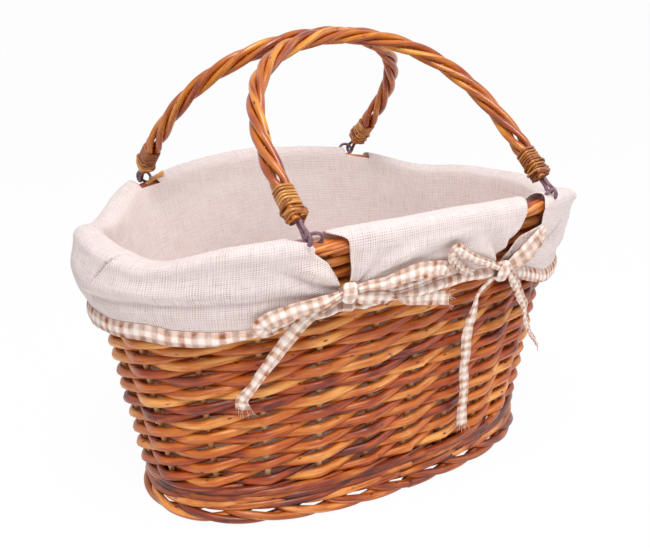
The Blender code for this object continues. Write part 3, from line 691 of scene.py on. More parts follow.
# radius of a rod, and of the circle that the four rods' middles lie on
HANDLE_ROD = 0.0025
HANDLE_CIRCLE = 0.0037
# the eye's wire, its half width at the ring and above it; the ring's wire, its radius and lean
EYE_WIRE = 0.00136
EYE_BEND = 0.0034
EYE_HALF = 0.00165
RING_WIRE = 0.00115
RING_RADIUS = 0.0051
RING_LEAN = math.radians(35)

arch_turns = np.pi * (1 - np.arange(2001) / 2000)
arch_rises = ARCH_RISE * np.sin(arch_turns).clip(0) ** (2 / ARCH_RISE_POWER)
ARCH = np.stack([FOOT_X * np.cos(arch_turns), 0 * arch_turns, arch_rises], -1)
ARCH_REACH = reaches(ARCH)
ARCH_LENGTH = ARCH_REACH[-1]


def arch_frame(reach):
    """Points of the arch at distances along it, and the directions out of its plane and in."""
    points, ahead, behind = (
        np.stack([np.interp(reach + step, ARCH_REACH, ARCH[:, k]) for k in range(3)], -1)
        for step in (0.0, 0.002, -0.002)
    )
    across = np.tile([0.0, 1.0, 0.0], (len(points), 1))
    return points, across, np.cross(across, unit(ahead - behind))


def leaned(points, front, vectors=False):
    """Turns points of an upright handle to where it rests."""
    sign = -1 if front else 1
    turn = sign * LEAN
    c, s = math.cos(turn), math.sin(turn)
    x, y, z = np.asarray(points, float).T
    made = np.stack([x, c * y - s * z, s * y + c * z], -1)
    return made if vectors else made + np.array([0, sign * PIVOT_Y, PIVOT_Z])


def handle_rods(front):
    made = []
    for rod in range(4):
        trim = 0.0014 * (rod % 2)
        reach = np.linspace(0.0118 + trim, ARCH_LENGTH - 0.0132 + trim, 260)
        points, across, inward = arch_frame(reach)
        share = np.clip((reach - BINDING_END) / (ARCH_LENGTH - 2 * BINDING_END), 0, 1)
        turn = 2 * math.pi * (rod + 0.5) / 4 + 2 * math.pi * TWIST_TURNS * share
        inner = np.minimum(reach, ARCH_LENGTH - reach) - BINDING_END
        circle = HANDLE_CIRCLE + 0.0011 * smooth(inner / 0.008) - 0.0011 * smooth((inner - 0.01) / 0.03)
        direction = np.cos(turn)[:, None] * across + np.sin(turn)[:, None] * inward
        radius = HANDLE_ROD * (1 + wobble(0.05, 260, 24))
        route = leaned(points + circle[:, None] * direction, front)
        made.append(strand(route, leaned(direction, front, True), radius, 0.2 + 0.6 * chance.random()))
    return made


def hull_radius(turn):
    """Distance from the middle to a band drawn tight round four rods in a square."""
    from_rod = np.abs(turn % (math.pi / 2) - math.pi / 4)
    within = HANDLE_ROD**2 - (HANDLE_CIRCLE * np.sin(from_rod)) ** 2
    arc = HANDLE_CIRCLE * np.cos(from_rod) + np.sqrt(np.clip(within, 0, None))
    line = (HANDLE_CIRCLE * math.cos(math.pi / 4) + HANDLE_ROD) / np.cos(math.pi / 4 - from_rod)
    return np.where(from_rod < math.radians(16), arc, line)


def winding(front, mirrored):
    """A split skein: close turns above, crossed wraps below, all pulled tight."""
    made = []
    low_turns = BINDING_START + 0.0058
    # each run of it: from and to along the handle, its turns, where it starts and how proud it lies
    rises = [
        (low_turns + 0.0012, BINDING_END + 0.0014, 7.0, 0.0, 0.0),
        (BINDING_START - 0.0004, low_turns, 2.7, 0.6, 0.0002),
        (BINDING_START + 0.0006, low_turns + 0.0052, 0.95, 2.2, 0.0010),
        (low_turns + 0.0046, BINDING_START + 0.0002, 1.05, 3.4, 0.0013),
    ]
    for low, high, turns, start, lift in rises:
        count = int(48 * turns) + 1
        turn = start + 2 * math.pi * turns * np.linspace(0, 1, count)
        reach = np.linspace(low, high, count) + wobble(0.0003, count, 12)
        points, across, inward = arch_frame(reach)
        direction = np.cos(turn)[:, None] * across + np.sin(turn)[:, None] * inward
        route = points + (hull_radius(turn) + 0.0005 + lift)[:, None] * direction
        if mirrored:
            route[:, 0] *= -1
            direction[:, 0] *= -1
        route = leaned(route, front)
        width = 0.00102 * (1 + wobble(0.12, count, 20))
        made.append(strand(route, leaned(direction, front, True), width, chance.random()))
    return made


def eye_loop(front, x):
    """The long wire eye: round the ring's top, drawn in, then up between the rods."""
    bend, half = EYE_BEND, EYE_HALF
    marks = [(bend * math.cos(t), bend * math.sin(t) - 0.0016) for t in np.linspace(math.pi, 2 * math.pi, 17)]
    marks += [(bend - 0.0004, 0.0006), (half + 0.0005, 0.0040), (half, 0.0070), (half, 0.0160)]
    marks += [(half * math.cos(t), 0.0235 + half * math.sin(t)) for t in np.linspace(0, math.pi, 7)]
    marks += [(-half, 0.0160), (-half, 0.0070), (-half - 0.0005, 0.0040), (0.0004 - bend, 0.0006)]
    points = np.array([(x, y, z) for y, z in marks])
    normal = leaned([(1.0, 0.0, 0.0)], front, True)[0]
    return strand(leaned(points, front), normal, EYE_WIRE, 0.5, closed=True)


def rim_ring(front, x):
    """The wire ring through the border, with the eye hung on its outer side."""
    out = outward(angle_at_x(x, PIVOT_Z, front), np.array(PIVOT_Z))
    run = np.cross([0, 0, 1], out)
    lean = out * math.sin(RING_LEAN) + np.array([0, 0, 1]) * math.cos(RING_LEAN)
    inner_side = run * -math.copysign(1.0, x * run[0])
    middle = np.array([x, -PIVOT_Y if front else PIVOT_Y, PIVOT_Z]) - lean * 0.0016 + inner_side * 0.0048
    turns = np.linspace(0, 2 * math.pi, 48, endpoint=False)
    points = middle + RING_RADIUS * (np.cos(turns)[:, None] * run + np.sin(turns)[:, None] * lean)
    return strand(points, np.cross(run, lean), RING_WIRE, 0.5, closed=True)


for side, front in (("front", True), ("back", False)):
    body = f"{side}_handle"
    for index, one in enumerate(handle_rods(front), 1):
        piece = strands_piece(f"{body}_twisted_rod_{index}", [one], 14, [amber, cut_wood])
        seat(piece, body, "honey_willow", f"{body}_rod_{index}")
    for end, x in (("left", -FOOT_X), ("right", FOOT_X)):
        piece = strands_piece(f"{body}_{end}_winding", winding(front, x > 0), 8, [skein, cut_wood], 0.75)
        seat(piece, body, "split_willow_skein", f"{body}_{end}_binding")
        piece = strands_piece(f"{body}_{end}_wire_eye", [eye_loop(front, x)], 12, [wire_paint])
        seat(piece, body, "painted_wire", f"{body}_{end}_eye")
        piece = strands_piece(f"{side}_{end}_wire_ring", [rim_ring(front, x)], 12, [wire_paint])
        seat(piece, "basket", "painted_wire", f"{side}_{end}_rim_ring")


# The liner: bag, fold over the border, and skirt in four panels

LINEN_THICKNESS = 0.0009
HEM_THICKNESS = 0.0012
# each slit: on the front or not, its edges at the crest, then down the skirt as (share, left, right)
SLITS = [
    (True, mm(66.5, 90), [
        (0, 62.2, 84.2), (0.12, 59, 83.6), (0.25, 55, 82.2), (0.31, 53, 73.5), (0.41, 50.5, 63.4),
        (0.47, 48.7, 58.8), (0.66, 43, 53), (1, 40.5, 50.5),
    ]),
    (False, mm(91.5, 112), [(0, 88, 109), (0.3, 80, 95), (0.65, 70, 77.5), (1, 64, 66.5)]),
    (False, mm(-112, -91.5), [(0, -109, -88), (0.3, -95, -80), (0.65, -77.5, -70), (1, -66.5, -64)]),
    (True, mm(-109, -87), [
        (0, -95.5, -75.7), (0.19, -86.8, -74.2), (0.48, -80.3, -72.2), (0.8, -74.5, -70.5),
        (1, -71.5, -67.2),
    ]),
]
TIES = [(0.0485, 0.1745, True), (0.065, 0.1745, False), (-0.065, 0.1745, False), (-0.069, 0.1795, True)]
# creases of the skirt: degrees round the oval, heights, depth and half width
CREASES = [
    (
        (176, 180, 190, 199, 207, 214, 228, 236, 245, 249),
        mm(165.5, 167.4, 170.5, 172.4, 172.5, 172.9, 175.5, 178.1, 175.6, 174.5),
        0.0032,
        0.0040,
    ),
    (
        (231, 235, 239.5, 243.5, 249),
        mm(200, 197.9, 191.4, 184.8, 179),
        0.0034,
        0.0042,
    ),
    (
        (252, 256, 262, 269, 275),
        mm(181, 186, 193.5, 199, 201),
        0.0024,
        0.0044,
    ),
    (
        (262, 269, 275, 280),
        mm(187, 185.5, 183.5, 180),
        0.0020,
        0.0036,
    ),
    (
        (286, 295, 303, 310, 318),
        mm(178, 177, 183, 196, 203),
        0.0030,
        0.0044,
    ),
    (
        (292, 305, 322, 340),
        mm(166, 160, 158, 162),
        0.0020,
        0.0045,
    ),
]
# narrow grooves that run up the cloth: heights, degrees round the oval, depth and half width
GROOVES = [
    (
        mm(168, 170, 174.8, 183.7, 193.9, 199.8, 205.8, 209.5),
        (187, 184.2, 183, 185.5, 189, 191.8, 193.5, 194.4),
        0.0040,
        0.0012,
    ),
    (
        mm(206, 211, 218, 224),
        (240.2, 240.9, 241, 240.6),
        0.0022,
        0.0014,
    ),
]
# columns of points across each panel, from one slit to the next
PANELS = (130, 56, 168, 60)
# height of the hem's lower edge, by degrees round the oval
HEM_DEGREES = (
    0, 30, 45, 60, 68, 90, 112, 120, 135, 150, 165, 178, 185, 193, 199, 204, 208, 214, 220, 227, 231, 240,
    248, 257, 260.5, 267, 272.5, 277, 282, 291, 298, 307, 317, 330, 360,
)
HEM_LEVELS = mm(
    140, 139.5, 143, 155, 166, 169, 166, 155, 144, 139.5, 140, 142.3, 143.4, 145.4, 146.8, 146.2, 145, 145,
    146.4, 149.9, 152.1, 158, 164.3, 164.1, 167, 167.1, 169.4, 168.5, 168, 157.9, 150, 142.1, 138.6, 139.3,
    140,
)
# how high the band is, which gathers towards the ties
BAND_DEGREES = (
    0, 40, 60, 75, 105, 120, 140, 178, 186, 202, 216, 222, 228, 232, 245, 255, 272, 284, 291, 297, 309, 360,
)
BAND_HEIGHTS = mm(11, 11, 6, 6.5, 6.5, 6, 11, 12, 10.5, 11, 9.9, 8, 5.6, 4.8, 5, 6, 6.5, 6, 9, 10.5, 9, 11)
# rise of the fold's crest over the border
CREST_DEGREES = (
    0, 5, 10, 32, 40, 50, 55, 60, 65, 80, 87, 95, 105, 111, 116, 120, 123, 127, 135, 150, 157, 165, 172,
    178, 184, 188, 192, 205, 213, 223, 231.5, 239, 250, 275, 300, 320, 332, 345, 352, 360,
)
CREST_RISES = mm(
    6.8, 6, 5.6, 5.6, 5.7, 6.2, 6.8, 8.5, 9.6, 10, 12, 10.8, 9.4, 7.8, 5.8, 6.6, 10.8, 9.2, 5.8, 5.6, 6.2,
    8.2, 9, 8.4, 5.8, 6.8, 5.8, 5.5, 5.8, 8, 8.7, 8.8, 9.5, 8.5, 8.8, 7.5, 6, 6.6, 7.2, 6.8,
)



def round_oval(angle, degrees, values):
    """A value kept by degrees round the oval, at angles."""
    return np.interp(np.degrees(angle) % 360, degrees, values)


def hem_low(angle):
    """Height of the hem's lower edge: high between the ties and low round the ends."""
    return round_oval(angle, HEM_DEGREES, HEM_LEVELS)


def band_height(angle):
    return round_oval(angle, BAND_DEGREES, BAND_HEIGHTS)


def groove_depth(angle, height):
    """Sharp grooves in the cloth, with the part to their right standing a little proud."""
    total = np.zeros_like(angle)
    degrees = np.degrees(angle) % 360
    for levels, marks, depth, half in GROOVES:
        line = np.interp(height, levels, marks)
        inside = smooth((height - levels[0]) / 0.004) * smooth((levels[-1] - height) / 0.004)
        away = (degrees - line) * math.pi / 180 * 0.150
        flap = np.where(away > 0, np.exp(-away / 0.012), 0.0) * smooth(away / 0.0012)
        total += inside * (0.7 * depth * flap - depth * np.exp(-((away / half) ** 2)))
    return total


def wander(angle, height, size, scale):
    """Soft unevenness of hanging cloth, the same on every run."""
    point = on_wall(angle, height, 0.0) / scale
    flat = point.reshape(-1, 3)
    values = np.array([noise.noise(Vector(p)) for p in flat])
    return size * values.reshape(point.shape[:-1])


def tie_folds(angle, height):
    """Folds that run out from each tie and fade away from it."""
    total = 0.0
    for x, z, front in TIES:
        along = (stake_place(angle) - stake_place(angle_at_x(x, z, front))) * ROUND / STAKES
        along = (along + ROUND / 2) % ROUND - ROUND / 2
        up = height - z
        far = np.hypot(along, up)
        spoke = np.arctan2(up, np.abs(along))
        fade = np.exp(-((far / 0.050) ** 2)) * smooth(far / 0.012)
        total = total + 0.0020 * fade * np.cos(9.0 * spoke + 0.8)
    return total


def crease_depth(angle, height):
    """How far the creases draw the skirt in, with a soft roll of cloth above each."""
    total = np.zeros_like(angle)
    degrees = np.degrees(angle)
    for marks, levels, depth, half in CREASES:
        for turn in (0, -180, 180, 360):
            place = degrees + turn
            line = np.interp(place, marks, levels)
            inside = smooth((place - marks[0]) / 5) * smooth((marks[-1] - place) / 5)
            away = (height - line) / half
            total += depth * inside * (0.55 * np.exp(-((away - 1.7) ** 2) / 1.6) - np.exp(-away * away))
    return total


def crest_rise(angle):
    """Height of the fold's crest over the border: puffed in places and pulled down in others."""
    rise = round_oval(angle, CREST_DEGREES, CREST_RISES) + wander(angle, border_height(angle), 0.0006, 0.032)
    return np.maximum(rise, 0.0054)


def end_puff(angle):
    """The fold stands out in a soft roll at the right end."""
    return 0.0055 * np.exp(-(((np.degrees(angle) % 360 - 330) / 11) ** 2))


def panel_shares(columns, dense):
    """Shares across a panel, closer together where its groove needs them."""
    even = np.linspace(0, 1, 400)
    reach = np.cumsum(1 + dense * np.exp(-(((even - 0.56) / 0.10) ** 2)))
    reach = (reach - reach[0]) / (reach[-1] - reach[0])
    return np.interp(np.linspace(0, 1, columns + 1), reach, even)


def row_angles(height, share, crest=0.0):
    """Column angles of a row, with a narrow gap column at each slit between the panels."""
    edges = []
    for front, top, table in SLITS:
        shares, left, right = zip(*table)
        pair = []
        for side, at_top in zip((left, right), top):
            x = np.interp(share, shares, mm(*side))
            pair.append(float(angle_at_x(x + (at_top - x) * crest, height, front)))
        edges.append(sorted(pair))
    made = []
    for index, columns in enumerate(PANELS):
        start = edges[index][1]
        end = edges[(index + 1) % 4][0]
        while end < start:
            end += 2 * math.pi
        made.append(start + (end - start) * panel_shares(columns, 2.6 if index == 2 else 0.0))
    return np.concatenate(made)


def liner_rows():
    """Points of every row from the floor of the bag to the skirt's lower edge, with their angles."""
    rows, open_rows, turns_round = [], [], []
    floor = 0.0218
    # how far inside the wall's middle the bag hangs
    inner = 0.0087
    top_angles = row_angles(0.2, 0.0, 1.0)
    for inset in (0.055, 0.045, 0.035, 0.026, 0.018):
        rows.append(on_wall(top_angles, floor, -inset))
    for share in np.linspace(0.0, 1.0, 26):
        top = border_height(top_angles) - 0.0060
        height = floor + 0.004 + share * (top - floor - 0.004)
        ease = 0.004 * (1 - smooth(share * 12)) + 0.0010 * math.sin(math.pi * share)
        soft = wander(top_angles, height, 0.0030 * math.sin(math.pi * min(1.0, share * 1.02)), 0.045)
        rows.append(on_wall(top_angles, height, -inner - ease - np.abs(soft)))
    open_rows += [False] * len(rows)
    turns_round += [top_angles] * len(rows)
    for turn in np.linspace(165, 15, 13):
        t = math.radians(turn)
        angles = row_angles(0.2, 0.0, float(smooth((turn - 15) / 75)))
        rise = crest_rise(angles)
        proud = 0.0100 + end_swell(angles) + end_puff(angles)
        height = border_height(angles) - 0.0004 + (rise + 0.0004) * math.sin(t) ** 0.85
        out = np.where(turn < 90, proud, 0.0098) * math.cos(t)
        if turn < 90:
            out = out + groove_depth(angles, height) * math.cos(t)
        rows.append(on_wall(angles, height, out))
        open_rows.append(turn < 150)
        turns_round.append(angles)
    for share in np.linspace(0.0, 1.0, 34):
        angles = row_angles(0.2 - 0.03 * share, share)
        low = hem_low(angles) + band_height(angles)
        top = border_height(angles) - 0.0008
        height = top + share * (low - top)
        bulge = 0.0038 * float(smooth(share * 2.6)) * (1 - 0.5 * float(smooth((share - 0.6) / 0.4)))
        # the skirt puffs out at the left end
        puff = np.exp(-(((np.degrees(angles) % 360 - 174) / 16) ** 2)) * math.sin(math.pi * share**0.8)
        soft = wander(angles, height, 0.0018 * share, 0.040) + wander(angles, height, 0.0008 * share, 0.014)
        crease = crease_depth(angles, height) + tie_folds(angles, height)
        out = 0.0104 + 0.0010 * share + end_swell(angles) + bulge + soft
        out = out + 0.0034 * puff + crease * smooth(share * 3)
        out = np.maximum(out, 0.0101 + end_swell(angles)) + groove_depth(angles, height)
        out = out + end_puff(angles) * math.exp(-share * 6)
        rows.append(on_wall(angles, height, out))
        open_rows.append(True)
        turns_round.append(angles)
    return rows, open_rows, turns_round


def sheet_piece(
    name,
    rows,
    material,
    thickness,
    closed=False,
    gaps=(),
    open_rows=None,
    start=(0.0, 0.0),
    bottom=False,
    across=None,
    down=None,
):
    """A sheet from rows of points, with thread directions kept in a UV map in metres."""
    count = len(rows[0])
    if across is None:
        longest = max(rows, key=lambda row: reaches(row)[-1])
        across = [start[0] + reaches(longest, append=longest[:1])] * len(rows)
    if down is None:
        steps = [np.linalg.norm(b - a, axis=1).mean() for a, b in zip(rows, rows[1:])]
        down = [np.full(count, start[1] + v) for v in np.concatenate([[0], np.cumsum(steps)])]
    faces, uvs = [], []
    for i in range(len(rows) - 1):
        for k in range(count if closed else count - 1):
            if k in gaps and open_rows[i + 1]:
                continue
            after = (k + 1) % count
            faces.append((i * count + k, i * count + after, (i + 1) * count + after, (i + 1) * count + k))
            uvs += [
                (across[i][k], down[i][k]),
                (across[i][k + 1], down[i][after]),
                (across[i + 1][k + 1], down[i + 1][after]),
                (across[i + 1][k], down[i + 1][k]),
            ]
    if bottom:
        faces.append(tuple(reversed(range(count))))
        uvs += [(p[0], p[1]) for p in rows[0][::-1]]
    made = mesh_piece(name, np.concatenate(rows), faces, "weave", uvs, [material])
    made.data.polygons.foreach_set("use_smooth", np.ones(len(faces), bool))
    made["flat_area"] = sum(f.area for f in made.data.polygons)
    wall = made.modifiers.new("thickness", "SOLIDIFY")
    wall.thickness = thickness
    wall.offset = 0.0
    bpy.ops.object.select_all(action="DESELECT")
    made.select_set(True)
    bpy.context.view_layer.objects.active = made
    bpy.ops.object.modifier_apply(modifier=wall.name)
    made.select_set(False)
    return made


def thread_places(angles):
    """Metres along the cloth at each column, and on to where it closes on itself."""
    reach = stake_place(angles) * ROUND / STAKES
    return np.append(reach, reach[0] + ROUND)


rows, open_rows, turns_round = liner_rows()
gap_columns = set(np.cumsum([columns + 1 for columns in PANELS]) - 1)
liner = sheet_piece(
    "linen_liner",
    rows,
    cloth,
    LINEN_THICKNESS,
    closed=True,
    gaps=gap_columns,
    open_rows=open_rows,
    bottom=True,
    across=[thread_places(angles) for angles in turns_round],
)
seat(liner, "basket", "linen_cloth", "liner")

edge = rows[-1]
edge_angles = turns_round[-1]
hem_rows, hem_down = [], []
for share in np.linspace(0.0, 1.0, 7):
    drop = band_height(edge_angles) * share + 0.0004
    puff = 0.0013 * math.sin(math.pi * share)
    ripple = 0.0004 * np.sin(stake_place(edge_angles) * 9.0) * share
    row = edge + outward(edge_angles, edge[:, 2]) * (puff + 0.0002 + ripple)[:, None]
    row[:, 2] -= drop
    hem_rows.append(row)
    hem_down.append(drop)
hem = sheet_piece(
    "gingham_band",
    hem_rows,
    hem_checks,
    HEM_THICKNESS,
    closed=True,
    across=[thread_places(edge_angles)] * len(hem_rows),
    down=hem_down,
)
seat(hem, "basket", "brown_gingham", "gingham_hem")


# Bows, each a knot, two loops and two tails of folded gingham


def grown_wall(angle, z, out):
    """Points on the wall's oval after both its axes grow by out."""
    a, b = wall_axes(z)
    x = (a + out) * power(np.cos(angle), 2 / OVAL_POWER)
    y = (b + out) * power(np.sin(angle), 2 / OVAL_POWER)
    return np.stack(np.broadcast_arrays(x, y, z), axis=-1)


def ribbon_rows(route, widths, lift, twist, pucker, turned):
    """Rows across a crumpled ribbon along its route on the wall's front, or turned to its back."""
    x, z, out = eased_route(route, 12 * len(route))
    along = np.linspace(0, 1, len(x))
    width = np.interp(along, np.linspace(0, 1, len(widths)), widths)
    turn = twist * smooth((along - 0.3) / 0.4)
    angles = angle_at_x(x, z, True)
    # what stands out far is pressed flatter
    out = np.minimum(out, 0.0190 + 0.35 * (out - 0.0190))
    centre = grown_wall(angles, z, out)
    normal = outward(angles, z)
    tangent = unit(np.gradient(centre, axis=0))
    across = unit(np.cross(normal, tangent))
    face = np.cross(tangent, across)
    across, face = (
        across * np.cos(turn)[:, None] + face * np.sin(turn)[:, None],
        face * np.cos(turn)[:, None] - across * np.sin(turn)[:, None],
    )
    seeds = [Vector([chance.uniform(0, 50) for _ in range(3)]) for _ in range(3)]
    reach = reaches(centre)

    def drift(seed, size, length, side=0.0):
        return np.array([size * noise.noise(seed + Vector((r / length, side, 0.0))) for r in reach])

    width = width * (1 + drift(seeds[0], 0.14, 0.011))
    bend = drift(seeds[1], 0.0012, 0.016)
    made = []
    for share in np.linspace(-1, 1, 13):
        dome = 0.5 * lift * (1 - share * share)
        pleat = pucker * np.cos(7.0 * share + drift(seeds[2], 2.5, 0.022))
        crumple = drift(seeds[2], 0.0007, 0.008, 2.2 * share)
        row = centre + across * (share * width / 2 + bend)[:, None] + face * (dome + pleat + crumple)[:, None]
        if turned:
            row[:, :2] *= -1
        made.append(row)
    return made


def knot_rows(x, z, out, wide, tall, turned):
    """A small folded barrel across the bow's middle, drawn nearly shut at its ends."""
    made = []
    angle = float(angle_at_x(x, z, True))
    centre = grown_wall(angle, z, out)
    normal = outward(np.array(angle), np.array(z))
    side = np.cross([0.0, 0.0, 1.0], normal)
    for share in np.linspace(-1, 1, 13):
        pinch = max(0.30, (1 - abs(share) ** 7)) ** 0.5
        turns = np.linspace(0, 2 * math.pi, 24, endpoint=False)
        fold = 1 + 0.10 * np.cos(5 * turns + 1.5 * share) + 0.05 * np.cos(9 * turns - 2.0 * share)
        row = (
            centre
            + side * (share * wide / 2)
            + (np.cos(turns) * fold)[:, None] * normal * (0.0036 * pinch)
            + (np.sin(turns) * fold)[:, None] * np.array([0.15, 0, 1]) * (tall / 2 * pinch)
        )
        if turned:
            row[:, :2] *= -1
        made.append(row)
    return made


def frayed_end(rows):
    """Loose threads at a tail's cut end, as thin strands that fan out from its last row."""
    ends = np.array([row[-1] for row in rows])
    ahead = unit(np.mean([row[-1] - row[-4] for row in rows], axis=0))
    across = ends[-1] - ends[0]
    made = []
    for _ in range(9):
        share = chance.random()
        start = ends[0] + across * share - ahead * 0.0010
        lean = ahead + unit(across) * (share - 0.5 + chance.uniform(-0.3, 0.3)) * 1.2
        length = chance.uniform(0.0025, 0.0070)
        steps = np.linspace(0, 1, 4)[:, None]
        sag = np.array([0, 0, -0.0012]) * steps * steps
        made.append(start + lean * length * steps + sag)
    return made


def bow(corner, ribbons, knot, turned):
    """Two loops, two tails with frayed ends and a knot, joined into one piece."""
    name = f"{corner}_bow_cloth"
    parts = []
    for index, ribbon in enumerate(ribbons):
        rows = ribbon_rows(*ribbon, turned)
        # each ribbon is cut from another stripe of the check
        parts.append(sheet_piece(f"{name}_{index}", rows, checks, 0.0006, start=(0.0113 * index, 0.0019)))
        if index > 1:
            for thread, middle in enumerate(frayed_end(rows)):
                flat = [middle + np.array([0, 0, d]) for d in (-0.00016, 0.00016)]
                parts.append(sheet_piece(f"{name}_{index}_{thread}", flat, checks, 0.0003))
    rows = knot_rows(*knot, turned)
    parts.append(sheet_piece(f"{name}_knot", rows, checks, 0.0008, start=(0.0, 0.004), closed=True))
    area = sum(part["flat_area"] for part in parts)
    bpy.ops.object.select_all(action="DESELECT")
    for part in parts:
        part.select_set(True)
    bpy.context.view_layer.objects.active = parts[0]
    bpy.ops.object.join()
    made = bpy.context.view_layer.objects.active
    made.name = name
    made.data.name = name
    made.select_set(False)
    made["flat_area"] = area
    return seat(made, "basket", "brown_gingham", f"{corner}_bow")


# every ribbon: its route as (x, height, out), widths along it, lift, twist and pleats
FIRST_BOW = [
    (
        mm(
            (-71.5, 180.2, 20), (-80, 176.8, 23.5), (-90, 173.7, 24.5), (-101, 169.8, 24),
            (-109.5, 165.5, 22.5), (-114.5, 160, 20), (-111, 156.2, 18), (-103.5, 159.5, 16.5),
            (-95, 164, 16.5), (-86, 170, 16.5), (-73, 178, 17),
        ),
        mm(4.5, 7, 9.5, 11, 11, 10, 8.5, 7.5, 7, 6, 4.5),
        0.0010,
        0,
        0.0004,
    ),
    (
        mm(
            (-64, 180.5, 20), (-50, 182.7, 23), (-39, 184.7, 24), (-28, 186, 23.5), (-17, 186.2, 22.5),
            (-9, 185, 21), (-4, 182.2, 19), (-10, 179.3, 17.5), (-20, 176.5, 16.8), (-33, 174.5, 16.5),
            (-48, 174.8, 16.5), (-64, 179, 17),
        ),
        mm(5, 8, 10, 11.2, 11, 10, 8, 7, 6.2, 5.5, 5, 4.5),
        0.0010,
        0,
        0.0004,
    ),
    (
        mm(
            (-70, 178, 19), (-79, 173.5, 20.5), (-87.2, 167.2, 20), (-96.6, 152.7, 18.5),
            (-105.5, 135.5, 17.5), (-114.2, 116.5, 16.8), (-119.5, 106, 16.8), (-118.5, 98.5, 17.2),
        ),
        mm(4.5, 8, 9.2, 9, 8, 5.5, 8.5, 10.5),
        0.0010,
        0.3,
        0.0005,
    ),
    (
        mm(
            (-67, 177, 19.5), (-60, 174.2, 21), (-51, 172.4, 21), (-39.7, 168.8, 19.5), (-31, 166.2, 19),
            (-23, 165.2, 19), (-7.6, 161.5, 19), (4.9, 159.1, 19),
        ),
        mm(5, 8.5, 9, 8.2, 7, 8, 9.8, 9.5),
        0.0008,
        3.1,
        0.0003,
    ),
]
SECOND_BOW = [
    (
        mm(
            (43, 174, 20.5), (33, 178.5, 23.5), (20, 184.5, 24), (8, 191.5, 23.5), (-3, 197.8, 21.5),
            (-3.8, 192.5, 19.5), (3.5, 185, 17), (15, 176.8, 16), (28.5, 170.2, 16), (40, 168, 17),
        ),
        mm(4.2, 4.8, 5.2, 5.8, 7.5, 7.8, 6.8, 6, 5.8, 5),
        0.0010,
        0,
        0.0004,
    ),
    (
        mm(
            (49, 172.5, 20.5), (56, 176.5, 23.5), (62.5, 182, 25), (69, 188, 24.5), (73.5, 191.5, 21.5),
            (74, 188, 19), (69, 180, 17.5), (61, 172.5, 17), (51, 169, 17.5),
        ),
        mm(7, 12, 14.5, 14, 12, 11.5, 12, 10.5, 6),
        0.0012,
        0,
        0.0006,
    ),
    (
        mm(
            (40, 167, 19.5), (33, 162, 21), (29, 156, 20), (28.8, 148, 19), (29.3, 139.5, 18.3),
            (28.5, 128, 17.5), (30, 111.6, 17), (34.3, 82.2, 16), (40, 44, 15),
        ),
        mm(4, 3.6, 3.6, 5, 7.2, 8, 7.2, 7.2, 8.5),
        0.0010,
        0.3,
        0.0004,
    ),
    (
        mm(
            (51, 169, 20), (60, 159, 22), (71.6, 145.5, 20.5), (81.8, 132.5, 19), (87.9, 119, 18.5),
            (96.5, 106, 19), (107, 94, 20), (118.7, 82.9, 21.5),
        ),
        mm(5.5, 8.5, 9.5, 9.2, 8.2, 6.6, 4.6, 2.8),
        0.0012,
        -0.2,
        0.0005,
    ),
]
# the knots: x, height, out, width and height of the barrel
FIRST_KNOT = (-0.0690, 0.1790, 0.0195, 0.0092, 0.0120)
SECOND_KNOT = (0.0448, 0.1705, 0.0195, 0.0120, 0.0130)
bows = [
    bow("front_left", FIRST_BOW, FIRST_KNOT, False),
    bow("front_right", SECOND_BOW, SECOND_KNOT, False),
    bow("back_left", SECOND_BOW, SECOND_KNOT, True),
    bow("back_right", FIRST_BOW, FIRST_KNOT, True),
]


# Floor, light and camera

WHITE = (1.0, 1.0, 1.0, 1.0)


def seen_by(tree, first, *others):
    """1 for the named kinds of rays and 0 for the rest."""
    rays = add(tree, "LightPath")
    seen = (rays, first)
    for kind in others:
        seen = calc(tree, "MAXIMUM", seen, (rays, kind))
    return seen


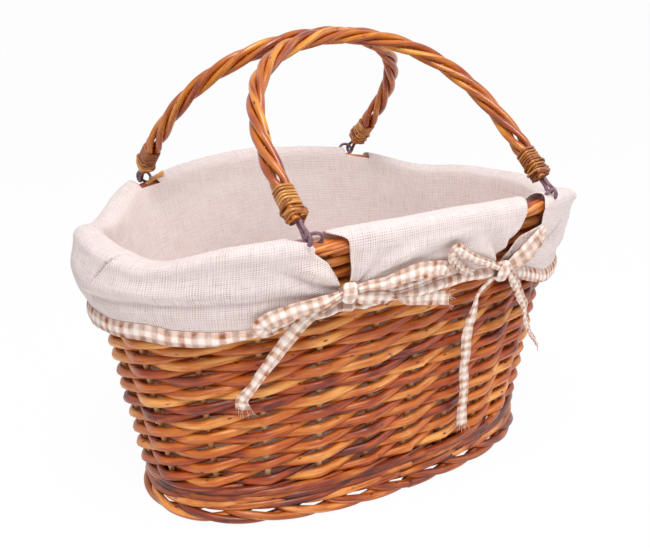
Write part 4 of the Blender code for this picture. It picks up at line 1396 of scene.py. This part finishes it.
def white_stage():
    """A white floor that takes the shadow and runs into the white behind it."""
    made, tree, shader = new_material("pale_studio_floor")
    look = {"Base Color": linear("#FAFAFA"), "Roughness": 1.0, "Specular IOR Level": 0.0}
    wire(tree, shader, look)
    seen = seen_by(tree, "Is Camera Ray", "Is Glossy Ray", "Is Transmission Ray")
    glow = add(tree, "Emission", {"Color": WHITE, "Strength": 1.0})
    mix = add(tree, "MixShader", {}, {0: calc(tree, "MULTIPLY", seen, 0.96), 1: shader, 2: glow})
    wire(tree, tree.nodes["Material Output"], {}, {"Surface": mix})
    bpy.ops.mesh.primitive_plane_add(size=400)
    floor = bpy.context.object
    floor.name = "studio_floor"
    floor.data.materials.append(made)
    floor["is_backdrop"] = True


def light(name, size, energy, position, target, colour):
    lamp = bpy.data.lights.new(name, "AREA")
    lamp.shape = "DISK"
    lamp.size = size
    lamp.energy = energy
    lamp.color = colour
    holder = bpy.data.objects.new(name, lamp)
    holder.location = position
    holder.rotation_euler = (Vector(target) - Vector(position)).to_track_quat("-Z", "Y").to_euler()
    bpy.context.scene.collection.objects.link(holder)


def studio():
    world = bpy.context.scene.world or bpy.data.worlds.new("studio")
    bpy.context.scene.world = world
    world.use_nodes = True
    tree = world.node_tree
    tree.nodes.clear()
    strength = ranged(tree, seen_by(tree, "Is Camera Ray", "Is Glossy Ray"), 0.0, 1.0, 0.50, 1.0)
    sky = add(tree, "Background", {"Color": WHITE}, {"Strength": strength})
    add(tree, "OutputWorld", {}, {"Surface": sky})
    light("key", 0.6, 13.6, (-0.55, -1.15, 1.55), (0, 0, 0.12), (1.0, 0.99, 0.98))
    light("fill", 1.0, 5.0, (1.35, -0.95, 0.8), (0, 0, 0.12), (1.0, 1.0, 1.0))
    light("top", 0.6, 8.0, (-0.30, -0.50, 1.4), (0, 0, 0.15), (1.0, 1.0, 1.0))


def camera():
    """The camera fitted to the photograph."""
    azimuth, elevation, roll = (math.radians(v) for v in (-32.8, 16.72, -1.4433))
    level = math.cos(elevation)
    back = Vector((math.sin(azimuth) * level, -math.cos(azimuth) * level, math.sin(elevation)))
    right = Vector((math.cos(azimuth), math.sin(azimuth), 0.0))
    up = back.cross(right)
    place = right * -0.00771 + Vector((0, 0, 0.14472)) + back * 0.78805
    across = right * math.cos(roll) + up * math.sin(roll)
    above = up * math.cos(roll) - right * math.sin(roll)
    lens = bpy.data.cameras.new("camera")
    lens.sensor_width = 36.0
    lens.sensor_fit = "HORIZONTAL"
    # 1019.65 pixels from the lens to a picture 650 pixels wide
    lens.lens = 1019.65 / 650 * lens.sensor_width
    lens.clip_start = 0.05
    holder = bpy.data.objects.new("camera", lens)
    turn = Matrix((across, above, back)).transposed()
    holder.matrix_world = Matrix.Translation(place) @ turn.to_4x4()
    bpy.context.scene.collection.objects.link(holder)
    bpy.context.scene.camera = holder


white_stage()
studio()
camera()
bpy.context.scene.view_settings.view_transform = "Standard"

low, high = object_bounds()
